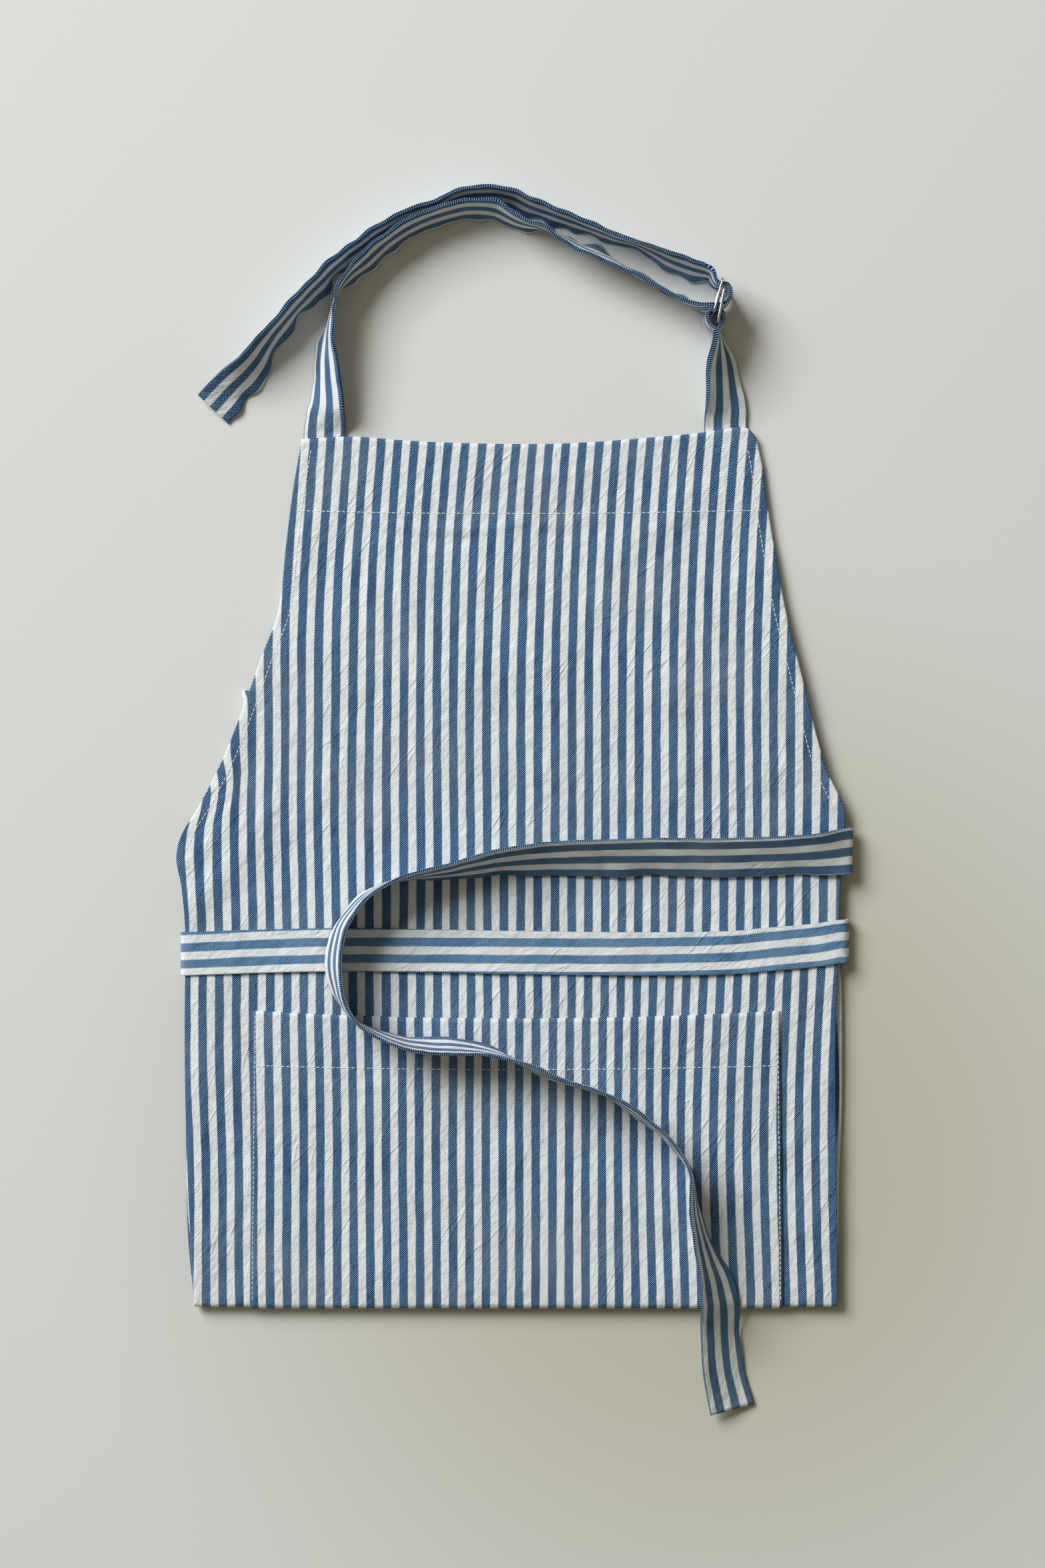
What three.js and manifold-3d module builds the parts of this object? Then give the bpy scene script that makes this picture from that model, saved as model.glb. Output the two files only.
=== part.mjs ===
// A striped bib apron, folded and lying face up, with its two ties wrapped round the bundle.
// Millimetres. +X to the right, +Y towards the neck strap, +Z up from the surface it lies on.

import * as THREE from 'three';
import { mergeVertices } from 'three/addons/utils/BufferGeometryUtils.js';
import Module from 'manifold-3d';

const wasm = await Module();
wasm.setup();

// Driving dimensions
const gap = 0.3;                  // clear space between touching pieces
const cloth = 0.6;                // one layer of cotton
const strapWidth = 25;            // neck strap, ring tab and ties
const strapThick = 2.0;           // neck strap: a folded and stitched band
const tieThick = 1.6;             // ties lie a little flatter
const foldRadius = 2.65;          // bottom fold, measured to the middle of the cloth
const foldHeight = 4.85;          // height of the bottom fold's centre
const foldY = -300.1;             // where the front panel starts to turn under
const sideOffset = 1.2;           // how far a turned-under side lies below the panel
const bibTop = 217;               // nominal height of the bib's top edge
const bibRestZ = 3.75;            // middle of the cloth at the top of the bib
const skirtHem = 66;              // the folded-up skirt ends here, behind the bib
const sideFold = 155;             // width of each turned-under side
const hemFold = 8;                // armhole hem
const pocketHalf = 157.5;
const pocketTop = -125.6;
const pocketFlap = 36;            // pocket cloth that carries on under the bottom fold
const seamWidth = 0.8;
const seamThick = 0.3;
const wire = 1.6;                 // ring wire diameter
const ringDepth = 20.5;           // bar to far side, between wire centres
const ringHeight = 27.8;          // between wire centres
const ringCorner = 2.4;
const eyeLift = 2.2;              // the standing eye starts this far above the surface

const frontZ = foldHeight + foldRadius;
const skirtZ = foldHeight - foldRadius;
const pocketOffset = cloth + gap;

// Outline of the bundle, each pair [y, x], from the bottom fold upwards
const frontLeft = [
  [-304, -192.8], [-260, -195.2], [-200, -197.6], [-140, -198.6], [-80, -198.2], [-52, -200.4],
  [-34, -203.6], [-20, -200.2], [-4, -190.4], [26, -175.2], [64, -160.4], [84, -153.4],
  [113, -142.8], [154, -138], [183, -134.4], [217, -128.8],
];
const frontRight = [
  [-304, 192.4], [-240, 191.8], [-180, 191], [-140, 191], [-100, 192.4], [-50, 194],
  [-18, 196.4], [-7, 196.6], [1, 193.8], [9, 190], [20, 184.8], [81, 169.2],
  [112, 161.6], [144, 155.8], [180, 150], [200, 147.6], [217, 144],
];
const skirtLeft = [
  [-304, -192.8], [-260, -197], [-200, -198.2], [-80, -197.8], [-40, -193], [0, -183.5],
  [28, -172], [44, -165.4], [57, -163.6], [67, -164.8],
];
const skirtRight = [
  [-304, 192.4], [-235, 193], [-180, 195], [-100, 194.6], [-40, 192], [0, 186], [40, 174], [67, 168],
];
const topEdge = [
  [-129, 216.5], [-98, 217.9], [-70, 215.9], [-40, 214.3], [11, 213.5], [45, 214.7],
  [77, 217.1], [111, 220.3], [130, 223.3], [139, 222.6], [144.4, 216],
];

// Bands. Each station is [x, y, floor, wx, wy, wz]: the middle of the band in plan, the height of
// its lowest point, and the direction across its width.
const neckStrapRoute = [
  [-115.7, 168, 0, 1, 0, 0],
  [-115.2, 219.5, 0, 1, 0, 0],
  [-114.4, 228.6, 0, 0.97, -0.03, 0.25],
  [-113.4, 236.7, 0, 0.83, -0.06, 0.56],
  [-113.7, 265.7, 0, 0.52, -0.07, 0.85],
  [-112.3, 280.8, 0, 0.25, -0.12, 0.96],
  [-107.2, 302.3, 0, 0, -0.1, 0.99],
  [-100.3, 312.7, 0, -0.2, 0.02, 0.98],
  [-89.9, 321.1, 0, -0.28, 0.19, 0.94],
  [-74.4, 334.9, 0, -0.19, 0.23, 0.96],
  [-56.4, 345.2, 0, -0.14, 0.26, 0.95],
  [-29.6, 352.9, 0, -0.04, 0.31, 0.95],
  [-12.7, 351.8, 0, 0.04, 0.33, 0.94],
  [0.1, 345.5, 0, 0.15, 0.15, 0.98],
  [14.5, 341.9, 0, 0.04, -0.05, 1],
  [28.5, 335.5, 0, -0.06, -0.23, 0.97],
  [42.3, 328.4, 0, -0.12, -0.29, 0.95],
  [58.5, 321.4, 0, -0.08, -0.24, 0.97],
  [73.2, 312.2, 0, -0.03, -0.14, 0.99],
  [87.5, 305.8, 0.4, -0.04, -0.14, 0.99],
  [97.8, 298.6, 0.9, -0.04, -0.13, 0.99],
  [105.9, 295, 1.6, 0, 0, 1],
  [112.9, 294.5, 2.1, 0, 0, 1],
  [119.9, 294.5, 2.2, 0, 0, 1],
  [124.5, 295.8, 2.2, 0, 0, 1],
  [126.7, 298.8, 2.2, 0, 0, 1],
  [127.2, 302.2, 2.2, 0, 0, 1],
  [126.3, 305.6, 2.2, 0, 0, 1],
  [124.5, 306.9, 2.2, 0, 0, 1],
  [121.5, 306.8, 2.2, 0, 0, 1],
  [118.3, 308.6, 2.1, 0.05, 0.03, 1],
  [115.5, 313.9, 1.6, 0.15, 0.02, 0.99],
  [112.8, 315.1, 0.8, 0.1, 0.2, 0.97],
  [104.5, 317.4, 0.2, 0.06, 0.29, 0.95],
  [93.3, 321.4, 0, 0.08, 0.29, 0.95],
  [72.6, 331.8, 0, 0.02, 0, 1],
  [57.9, 336.4, 0, 0.06, 0.05, 1],
  [31.3, 346.4, 0, 0.13, 0.15, 0.98],
  [8.1, 354.6, 0, 0.15, 0.24, 0.96],
  [-5.4, 360.6, 0, 0.08, 0.25, 0.96],
  [-19.9, 362.1, 0, 0.01, 0.23, 0.97],
  [-34.2, 360, 0, -0.08, 0.23, 0.97],
  [-47.7, 353.2, 0, -0.15, 0.21, 0.97],
  [-67.5, 346.8, 0, -0.17, 0.19, 0.97],
  [-99, 326.1, 0, -0.22, 0.17, 0.96],
  [-119.2, 307.4, 0, -0.25, 0.18, 0.95],
  [-143.1, 280.8, 0, -0.27, 0.19, 0.94],
  [-158.4, 258.8, 0, -0.51, 0.46, 0.73],
  [-169.5, 247.7, 0, -0.62, 0.61, 0.5],
  [-182, 234.4, 0, -0.68, 0.71, 0.17],
];
const ringTabRoute = [
  [125.3, 168, 0, -1, 0, 0],
  [125.3, 222.5, 0, -1, 0, 0],
  [125.2, 228.3, 0, -1, 0.03, 0.09],
  [125.3, 234.2, 0, -0.96, 0.07, 0.26],
  [124, 246.2, 0.2, -0.83, 0.03, 0.56],
  [122.4, 261, 0.8, -0.66, 0.01, 0.75],
  [120.5, 273.3, 1.6, -0.25, -0.07, 0.97],
  [119.2, 280.7, 2.2, -0.05, -0.12, 0.99],
];
const leftTieRoute = [
  [-45, -97, 4.05, 0, 1, 0],
  [-120, -94, 4.05, 0, 1, 0],
  [-185, -92, 4.05, 0, 1, 0],
  [-197, -91.7, 4.05, 0, 1, 0],
  [-199.5, -91.7, 4.8, 0, 1, 0],
  [-200.2, -91.7, 6.1, 0, 1, 0],
  [-199.4, -91.7, 7.5, 0, 1, 0],
  [-197, -91.6, 8.1, 0, 1, 0],
  [-150, -90, 8.1, 0, 1, 0],
  [-110, -89.3, 8.1, 0, 1, 0],
  [-50, -90, 8.1, 0, 1, 0],
  [0, -90.8, 8.1, 0, 1, 0],
  [60, -91.6, 8.1, 0, 1, 0],
  [126, -91, 8.1, 0, 1, 0],
  [152, -88.8, 8.1, 0, 1, 0],
  [179, -86.5, 8.1, 0, 1, 0],
  [191, -84.6, 8.1, 0, 1, 0],
  [195.4, -84.2, 7.6, 0, 1, 0],
  [197.6, -84.1, 6.2, 0, 1, 0],
  [198.3, -84, 4.2, 0, 1, 0],
  [198, -83.9, 2, 0, 1, 0],
  [197, -83.8, 0.5, 0, 1, 0],
  [194, -83.5, 0, 0, 1, 0],
  [186, -82, 0, 0.1, 1, 0],
  [150, -76, 0, 0.17, 1, 0],
  [20, -54, 0, 0.17, 1, 0],
  [-70, -39, 0, 0.17, 1, 0],
  [-125, -30, 0, 0.17, 1, 0],
];
const rightTieRoute = [
  [47.9, -92.8, 4.05, -0.4, 0.92, 0], [109.8, -63.9, 4.05, -0.4, 0.92, 0],
  [164.7, -37.9, 4.05, -0.35, 0.94, 0], [187.7, -30.4, 4.05, -0.15, 0.99, 0],
  [196.4, -29.5, 4.1, 0, 1, 0], [199.4, -29.8, 5, 0, 1, 0], [200.2, -30, 6.8, 0, 1, 0],
  [198.8, -30.1, 8.5, 0, 1, 0], [195, -30.5, 9.1, 0, 0.99, 0.12], [185.1, -31.4, 8.9, -0.01, 0.92, 0.4],
  [167.1, -32.5, 8.4, -0.02, 0.84, 0.54], [125.3, -33.8, 8.1, -0.02, 0.82, 0.57],
  [79.6, -33.8, 8.2, -0.01, 0.81, 0.59], [44.8, -34.1, 8.5, 0, 0.77, 0.64],
  [19.9, -34.7, 8.1, -0.02, 0.71, 0.7], [0, -35.8, 8.1, -0.05, 0.61, 0.79],
  [-18.8, -38.1, 8.1, -0.08, 0.48, 0.87], [-39.6, -41.9, 8.1, -0.09, 0.3, 0.95],
  [-60.4, -45.1, 8.1, -0.05, 0.13, 0.99], [-75.2, -49, 8.4, 0, 0, 1],
  [-86.9, -54.8, 9, 0.09, -0.05, 0.99], [-97.8, -64.9, 9.9, 0.2, -0.07, 0.98],
  [-104.3, -74.6, 10, 0.29, -0.01, 0.96], [-107.4, -85.9, 10, 0.35, 0.04, 0.94],
  [-108.5, -95.4, 10, 0.36, 0.05, 0.93], [-107.4, -106.5, 10, 0.31, 0.05, 0.95],
  [-104.2, -118.7, 9.7, 0.19, 0.08, 0.98], [-97.4, -129.5, 9.6, 0.05, 0.06, 1],
  [-84.3, -137.1, 9.6, -0.06, -0.05, 1], [-68.1, -143.1, 9.6, -0.03, -0.17, 0.99],
  [-53.4, -145.4, 9.6, 0.02, -0.25, 0.97], [-37.6, -146.2, 9.6, 0.02, -0.26, 0.97],
  [-21.4, -148.4, 9.6, 0.04, -0.13, 0.99], [-4.7, -152.8, 9.6, 0.03, 0, 1],
  [11.8, -159.8, 9.6, 0.04, 0.16, 0.99], [28.9, -166.3, 9.6, -0.01, 0.1, 0.99],
  [49.1, -172.5, 9.6, -0.02, 0.08, 1], [67.9, -184, 9.6, 0.05, 0.19, 0.98],
  [87, -198, 9.6, 0.01, 0.13, 0.99], [96.9, -210.2, 9.6, 0.02, 0.13, 0.99],
  [103, -220.9, 9.6, -0.05, 0.11, 0.99], [105, -231.3, 9.6, -0.14, 0.11, 0.98],
  [106.2, -242, 9.6, -0.24, 0.11, 0.96], [108.8, -254.9, 9.3, -0.34, 0.17, 0.92],
  [114.1, -273.6, 9.1, -0.55, 0.2, 0.81], [118.3, -287.1, 9.1, -0.72, 0.2, 0.66],
  [120.6, -299, 8.8, -0.78, 0.16, 0.6], [121.1, -304, 6.6, -0.79, 0.15, 0.59],
  [121.5, -308.3, 3.2, -0.8, 0.14, 0.58], [121.7, -313.7, 1.1, -0.81, 0.13, 0.57],
  [121.9, -320.4, 0.2, -0.83, 0.13, 0.54], [123.9, -340.6, 0, -0.89, 0.13, 0.42],
  [129.4, -364.8, 0, -0.95, -0.25, 0.2],
];

// Smooth value read along hand-set pairs [at, value]
function track(pairs) {
  const slope = pairs.map((p, i) => {
    const a = pairs[Math.max(i - 1, 0)];
    const b = pairs[Math.min(i + 1, pairs.length - 1)];
    return (b[1] - a[1]) / (b[0] - a[0]);
  });
  return (at) => {
    const last = pairs.length - 1;
    const t = Math.min(Math.max(at, pairs[0][0]), pairs[last][0]);
    let i = 0;
    while (i < last - 1 && t > pairs[i + 1][0]) i += 1;
    const span = pairs[i + 1][0] - pairs[i][0];
    const u = (t - pairs[i][0]) / span;
    return pairs[i][1] * (1 + 2 * u) * (1 - u) ** 2 + slope[i] * span * u * (1 - u) ** 2
      + pairs[i + 1][1] * u * u * (3 - 2 * u) + slope[i + 1] * span * u * u * (u - 1);
  };
}

const ease = (a, b, x) => THREE.MathUtils.smoothstep(x, a, b);
const leftOf = track(frontLeft);
const rightOf = track(frontRight);
const skirtLeftOf = track(skirtLeft);
const skirtRightOf = track(skirtRight);
const topOf = track(topEdge);
const restZ = (y) => frontZ - (frontZ - bibRestZ) * ease(60, 185, y);

// Closed slab of even thickness round a grid of points, rows down and columns across
function slab(grid, thick) {
  const rows = grid.length;
  const cols = grid[0].length;
  const at = (i, j) => grid[Math.min(Math.max(i, 0), rows - 1)][Math.min(Math.max(j, 0), cols - 1)];
  const position = [];
  for (const side of [0.5, -0.5]) {
    for (let i = 0; i < rows; i += 1) {
      for (let j = 0; j < cols; j += 1) {
        const down = at(i + 1, j).clone().sub(at(i - 1, j));
        const across = at(i, j + 1).clone().sub(at(i, j - 1));
        const normal = down.cross(across).normalize();
        position.push(...at(i, j).clone().addScaledVector(normal, side * thick).toArray());
      }
    }
  }
  const under = rows * cols;
  const id = (i, j) => i * cols + j;
  const index = [];
  const quad = (a, b, c, d) => index.push(a, b, c, a, c, d);
  for (let i = 0; i < rows - 1; i += 1) {
    for (let j = 0; j < cols - 1; j += 1) {
      quad(id(i, j), id(i + 1, j), id(i + 1, j + 1), id(i, j + 1));
      quad(under + id(i, j), under + id(i, j + 1), under + id(i + 1, j + 1), under + id(i + 1, j));
    }
  }
  const rim = [];
  for (let i = 0; i < rows - 1; i += 1) rim.push(id(i, 0));
  for (let j = 0; j < cols - 1; j += 1) rim.push(id(rows - 1, j));
  for (let i = rows - 1; i > 0; i -= 1) rim.push(id(i, cols - 1));
  for (let j = cols - 1; j > 0; j -= 1) rim.push(id(0, j));
  rim.forEach((a, k) => {
    const b = rim[(k + 1) % rim.length];
    quad(under + a, under + b, b, a);
  });
  const geometry = new THREE.BufferGeometry();
  geometry.setAttribute('position', new THREE.Float32BufferAttribute(position, 3));
  geometry.setIndex(index);
  return geometry;
}

// A band along its route: a flat strip that may lie, lean or stand on edge
function band(route, width, thick, stepsPerStation = 2) {
  const middle = route.map(([x, y, floor, wx, wy, wz]) => {
    const lean = Math.abs(wz) / Math.hypot(wx, wy, wz);
    return new THREE.Vector3(x, y, floor + width / 2 * lean + thick / 2 * Math.sqrt(1 - lean * lean));
  });
  const curve = new THREE.CatmullRomCurve3(middle, false, 'centripetal');
  const steps = (route.length - 1) * stepsPerStation;
  const grid = [];
  for (let k = 0; k <= steps; k += 1) {
    const at = k / stepsPerStation;
    const i = Math.min(Math.floor(at), route.length - 2);
    const across = new THREE.Vector3(...route[i].slice(3)).normalize();
    across.lerp(new THREE.Vector3(...route[i + 1].slice(3)).normalize(), at - i);
    const ahead = curve.getTangent(k / steps);
    across.addScaledVector(ahead, -across.dot(ahead)).setLength(width / 2);
    const point = curve.getPoint(k / steps);
    const facing = across.clone().cross(ahead).normalize();
    const lowest = point.z - Math.abs(across.z) - thick / 2 * Math.abs(facing.z);
    const floor = THREE.MathUtils.lerp(route[i][2], route[i + 1][2], at - i);
    point.z += Math.max(0, floor - lowest);
    grid.push([point.clone().sub(across), point.clone().add(across)]);
  }
  return slab(grid, thick);
}

// A row of the folded cloth: where its middle line runs and which way its outer face looks
function bundleRows() {
  const rows = [];
  const frontSteps = 30;
  for (let k = 0; k <= frontSteps; k += 1) {
    const y = THREE.MathUtils.lerp(bibTop, foldY, k / frontSteps);
    rows.push({ y, z: restZ(y), out: [0, 1], left: leftOf(y), right: rightOf(y), upper: true });
  }
  const turns = 6;
  for (let k = 1; k < turns; k += 1) {
    const turn = Math.PI * k / turns;
    rows.push({
      y: foldY - foldRadius * Math.sin(turn), z: foldHeight + foldRadius * Math.cos(turn),
      out: [-Math.sin(turn), Math.cos(turn)], left: leftOf(foldY), right: rightOf(foldY),
    });
  }
  const skirtSteps = 12;
  for (let k = 0; k <= skirtSteps; k += 1) {
    const y = THREE.MathUtils.lerp(foldY, skirtHem, k / skirtSteps);
    rows.push({ y, z: skirtZ, out: [0, -1], left: skirtLeftOf(y), right: skirtRightOf(y) });
  }
  return rows;
}

// Width of the turned-under side: a narrow hem along the armhole, a wide fold below the waist
function turnedUnder(row, waist) {
  if (!row.upper) return sideFold;
  return sideFold + (hemFold - sideFold) * ease(waist - 80, waist, row.y);
}

// The sagging top edge, faded out down the bib
function topShift(row, x) {
  if (!row.upper) return 0;
  return (topOf(x) - bibTop) * ease(170, bibTop, row.y);
}

function apronCloth() {
  const turn = sideOffset / 2;
  const edge = cloth / 2;
  const grid = bundleRows().map((row) => {
    const place = (x, inwards) => new THREE.Vector3(
      x, row.y + topShift(row, x) - row.out[0] * inwards, row.z - row.out[1] * inwards,
    );
    const left = row.left + edge;
    const right = row.right - edge;
    const leftFold = turnedUnder(row, -22);
    const rightFold = turnedUnder(row, -4);
    const points = [];
    for (const share of [1, 0.66, 0.33]) points.push(place(left + turn + leftFold * share, sideOffset));
    for (const a of [0, 0.5, 1]) {
      const angle = Math.PI * a;
      points.push(place(left + turn - turn * Math.sin(angle), turn + turn * Math.cos(angle)));
    }
    for (let k = 1; k < 8; k += 1) {
      points.push(place(THREE.MathUtils.lerp(left + turn, right - turn, k / 8), 0));
    }
    for (const a of [1, 0.5, 0]) {
      const angle = Math.PI * a;
      points.push(place(right - turn + turn * Math.sin(angle), turn + turn * Math.cos(angle)));
    }
    for (const share of [0.33, 0.66, 1]) points.push(place(right - turn - rightFold * share, sideOffset));
    return points;
  });
  return slab(grid, cloth);
}

function pocketCloth() {
  const reach = foldRadius + pocketOffset;
  const rows = [];
  for (let k = 0; k <= 6; k += 1) {
    const y = THREE.MathUtils.lerp(pocketTop, foldY, k / 6);
    rows.push({ y, z: frontZ + pocketOffset, sag: 1 - k / 6 });
  }
  for (let k = 1; k < 8; k += 1) {
    const turn = Math.PI * k / 8;
    rows.push({ y: foldY - reach * Math.sin(turn), z: foldHeight + reach * Math.cos(turn), sag: 0 });
  }
  rows.push({ y: foldY, z: skirtZ - pocketOffset, sag: 0 });
  rows.push({ y: foldY + pocketFlap, z: skirtZ - pocketOffset, sag: 0 });
  const grid = rows.map(({ y, z, sag }) => [-1, -0.75, -0.5, -0.25, 0, 0.25, 0.5, 0.75, 1].map(
    (share) => new THREE.Vector3(share * (pocketHalf + (1 - sag) * 2), y - 4.6 * (1 - share * share) * sag, z),
  ));
  return slab(grid, cloth);
}

// Closed solids joined into one
function solid(geometry) {
  const bare = geometry.clone();
  bare.deleteAttribute('normal');
  bare.deleteAttribute('uv');
  const merged = mergeVertices(bare, 1e-4);
  return new wasm.Manifold(new wasm.Mesh({
    numProp: 3,
    vertProperties: new Float32Array(merged.attributes.position.array),
    triVerts: new Uint32Array(merged.index.array),
  }));
}

function fromSolid(manifold) {
  const mesh = manifold.getMesh();
  const geometry = new THREE.BufferGeometry();
  geometry.setAttribute('position', new THREE.BufferAttribute(mesh.vertProperties, 3));
  geometry.setIndex(new THREE.BufferAttribute(mesh.triVerts, 1));
  return geometry;
}

// A standing wall of cloth, its outline seen from above
function standing(outline, depth) {
  return solid(new THREE.ExtrudeGeometry(outline, { depth, bevelEnabled: false, curveSegments: 6 }));
}

// The doubled tab and the standing eye at its end that the rings hang in
function ringTab() {
  const outside = new THREE.Shape();
  outside.moveTo(118.1, 278.7);
  outside.bezierCurveTo(114.4, 280.6, 111.8, 283.6, 112, 287.4);
  outside.bezierCurveTo(112.3, 291.2, 114.9, 293, 117.7, 293);
  outside.bezierCurveTo(121.3, 293, 124.1, 290.8, 124.3, 287.2);
  outside.bezierCurveTo(124.5, 283.8, 122.5, 280.6, 120.1, 278.7);
  const inside = new THREE.Shape();
  inside.moveTo(119, 281.6);
  inside.bezierCurveTo(116.4, 282.8, 114, 285, 114, 287.6);
  inside.bezierCurveTo(114.1, 290, 115.7, 291.1, 117.7, 291.1);
  inside.bezierCurveTo(120.3, 291.1, 122.3, 289.6, 122.4, 287);
  inside.bezierCurveTo(122.4, 284.8, 120.9, 282.6, 119, 281.6);
  const through = standing(inside, strapWidth + 2).translate([0, 0, -1]);
  const eye = standing(outside, strapWidth).subtract(through).translate([0, 0, eyeLift]);
  return fromSolid(eye.add(solid(band(ringTabRoute, strapWidth, strapThick))));
}

// A wire D-ring: straight bar at its own origin, standing on edge, reaching out along +X
function wireRing() {
  const half = ringHeight / 2;
  const corners = [
    [0, -half, 1.8, -180], [0, half, 1.8, 180], [ringDepth, half, ringCorner, 90], [ringDepth, -half, ringCorner, 0],
  ];
  const route = [];
  for (const [x, z, radius, start] of corners) {
    const inX = x === 0 ? radius : x - radius;
    const inZ = z > 0 ? z - radius : z + radius;
    for (let k = 0; k <= 4; k += 1) {
      const sweep = x === 0 && z < 0 ? -90 - 90 * k / 4 : start - 90 * k / 4;
      const angle = THREE.MathUtils.degToRad(sweep);
      route.push({ x: inX + radius * Math.cos(angle), z: inZ + radius * Math.sin(angle), angle });
    }
  }
  const sides = 10;
  const position = [];
  const index = [];
  route.forEach(({ x, z, angle }, i) => {
    for (let k = 0; k < sides; k += 1) {
      const round = 2 * Math.PI * k / sides;
      const out = wire / 2 * Math.cos(round);
      position.push(x + out * Math.cos(angle), wire / 2 * Math.sin(round), z + out * Math.sin(angle));
      const next = (i + 1) % route.length;
      const a = i * sides + k;
      const b = i * sides + (k + 1) % sides;
      const c = next * sides + (k + 1) % sides;
      const d = next * sides + k;
      index.push(a, c, b, a, d, c);
    }
  });
  const geometry = new THREE.BufferGeometry();
  geometry.setAttribute('position', new THREE.Float32BufferAttribute(position, 3));
  geometry.setIndex(index);
  geometry.translate(0, 0, half + wire / 2);
  return geometry;
}

// A row of thread lying on the cloth, through points [x, y, floor]
function seam(points) {
  const route = points.map(([x, y, floor], i) => {
    const before = points[Math.max(i - 1, 0)];
    const after = points[Math.min(i + 1, points.length - 1)];
    return [x, y, floor, before[1] - after[1], after[0] - before[0], 0];
  });
  return band(route, seamWidth, seamThick, 1);
}

const spread = (from, to, count) => Array.from({ length: count }, (_, i) => from + (to - from) * i / (count - 1));
const onPanel = (y) => restZ(y) + cloth / 2 + gap;
const onPocket = frontZ + pocketOffset + cloth / 2 + gap;
const armhole = (edgeOf, inwards) => seam(
  spread(206, -14, 16).map((y) => [edgeOf(y) + inwards, y, onPanel(y) + 0.05]),
);

const cotton = (colour) => new THREE.MeshStandardMaterial({ color: colour, roughness: 0.9, metalness: 0 });
const plated = () => new THREE.MeshStandardMaterial({ color: 0xd8d8da, roughness: 0.18, metalness: 1 });

const apron = new THREE.Group();
function piece(name, geometry, material) {
  const mesh = new THREE.Mesh(geometry, material);
  mesh.name = name;
  apron.add(mesh);
  return mesh;
}

piece('apron_cloth', apronCloth(), cotton(0x9fb4c8));
piece('pocket', pocketCloth(), cotton(0x8fa9c4));
piece('neck_strap', band(neckStrapRoute, strapWidth, strapThick), cotton(0x6f8db0));
piece('ring_tab', ringTab(), cotton(0x7d99b8));
piece('left_tie', band(leftTieRoute, strapWidth, tieThick), cotton(0x7a9cc0));
piece('right_tie', band(rightTieRoute, strapWidth, tieThick), cotton(0x6a8db5));

const outerRing = piece('ring_1', wireRing(), plated());
outerRing.position.set(117.1, 289.8, 0);
outerRing.rotation.z = THREE.MathUtils.degToRad(75);
const innerRing = piece('ring_2', wireRing(), plated());
innerRing.position.set(119.4, 284.1, 0);
innerRing.rotation.z = THREE.MathUtils.degToRad(79);

piece('bib_hem_stitching', seam([-126, -60, 0, 60, 110, 140].map(
  (x) => [x, 174 - 2.2 * (1 - (x / 150) ** 2), onPanel(172)],
)), cotton(0xf2f1ec));
piece('left_armhole_stitching', armhole(leftOf, hemFold - 1), cotton(0xf2f1ec));
piece('right_armhole_stitching', armhole(rightOf, 1 - hemFold), cotton(0xf2f1ec));
piece('pocket_hem_stitching', seam(spread(-154, 154, 7).map(
  (x) => [x, -158.4 - 2.4 * (1 - (x / 157) ** 2), onPocket],
)), cotton(0xf2f1ec));
piece('pocket_left_stitching', seam([[-156.2, -129, onPocket], [-158, -296, onPocket]]), cotton(0xf2f1ec));
piece('pocket_right_stitching', seam([[156.2, -129, onPocket], [158, -296, onPocket]]), cotton(0xf2f1ec));
piece('skirt_hem_stitching', seam([[-150, 48, skirtZ - cloth / 2 - gap - seamThick],
  [152, 48, skirtZ - cloth / 2 - gap - seamThick]]), cotton(0xf2f1ec));

export default apron;
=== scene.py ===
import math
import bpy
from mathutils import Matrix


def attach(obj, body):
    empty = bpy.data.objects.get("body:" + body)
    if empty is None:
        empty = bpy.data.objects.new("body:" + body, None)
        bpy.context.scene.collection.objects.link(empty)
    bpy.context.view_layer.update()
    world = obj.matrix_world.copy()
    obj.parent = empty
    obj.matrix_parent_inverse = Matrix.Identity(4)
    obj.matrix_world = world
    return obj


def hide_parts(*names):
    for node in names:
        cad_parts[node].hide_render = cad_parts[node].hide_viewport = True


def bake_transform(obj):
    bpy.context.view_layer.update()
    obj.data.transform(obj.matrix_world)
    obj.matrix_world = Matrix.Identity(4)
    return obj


bl_info = {
    "name": "Folded striped apron",
    "version": (1, 0, 0),
    "blender": (4, 5, 0),
    "location": "View3D > Sidebar > Apron",
    "description": "Builds the cloth, bands, rings and stitching of a folded bib apron on its frame",
    "category": "Object",
}

import bpy
import numpy as np

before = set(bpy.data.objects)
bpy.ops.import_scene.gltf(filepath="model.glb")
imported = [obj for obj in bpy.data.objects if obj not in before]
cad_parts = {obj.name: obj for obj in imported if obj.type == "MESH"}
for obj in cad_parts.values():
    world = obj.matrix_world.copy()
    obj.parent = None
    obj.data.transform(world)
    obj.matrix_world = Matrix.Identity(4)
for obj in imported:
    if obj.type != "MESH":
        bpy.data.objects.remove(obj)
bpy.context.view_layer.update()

MM = 0.001
BUNDLE = "apron_bundle"

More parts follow.
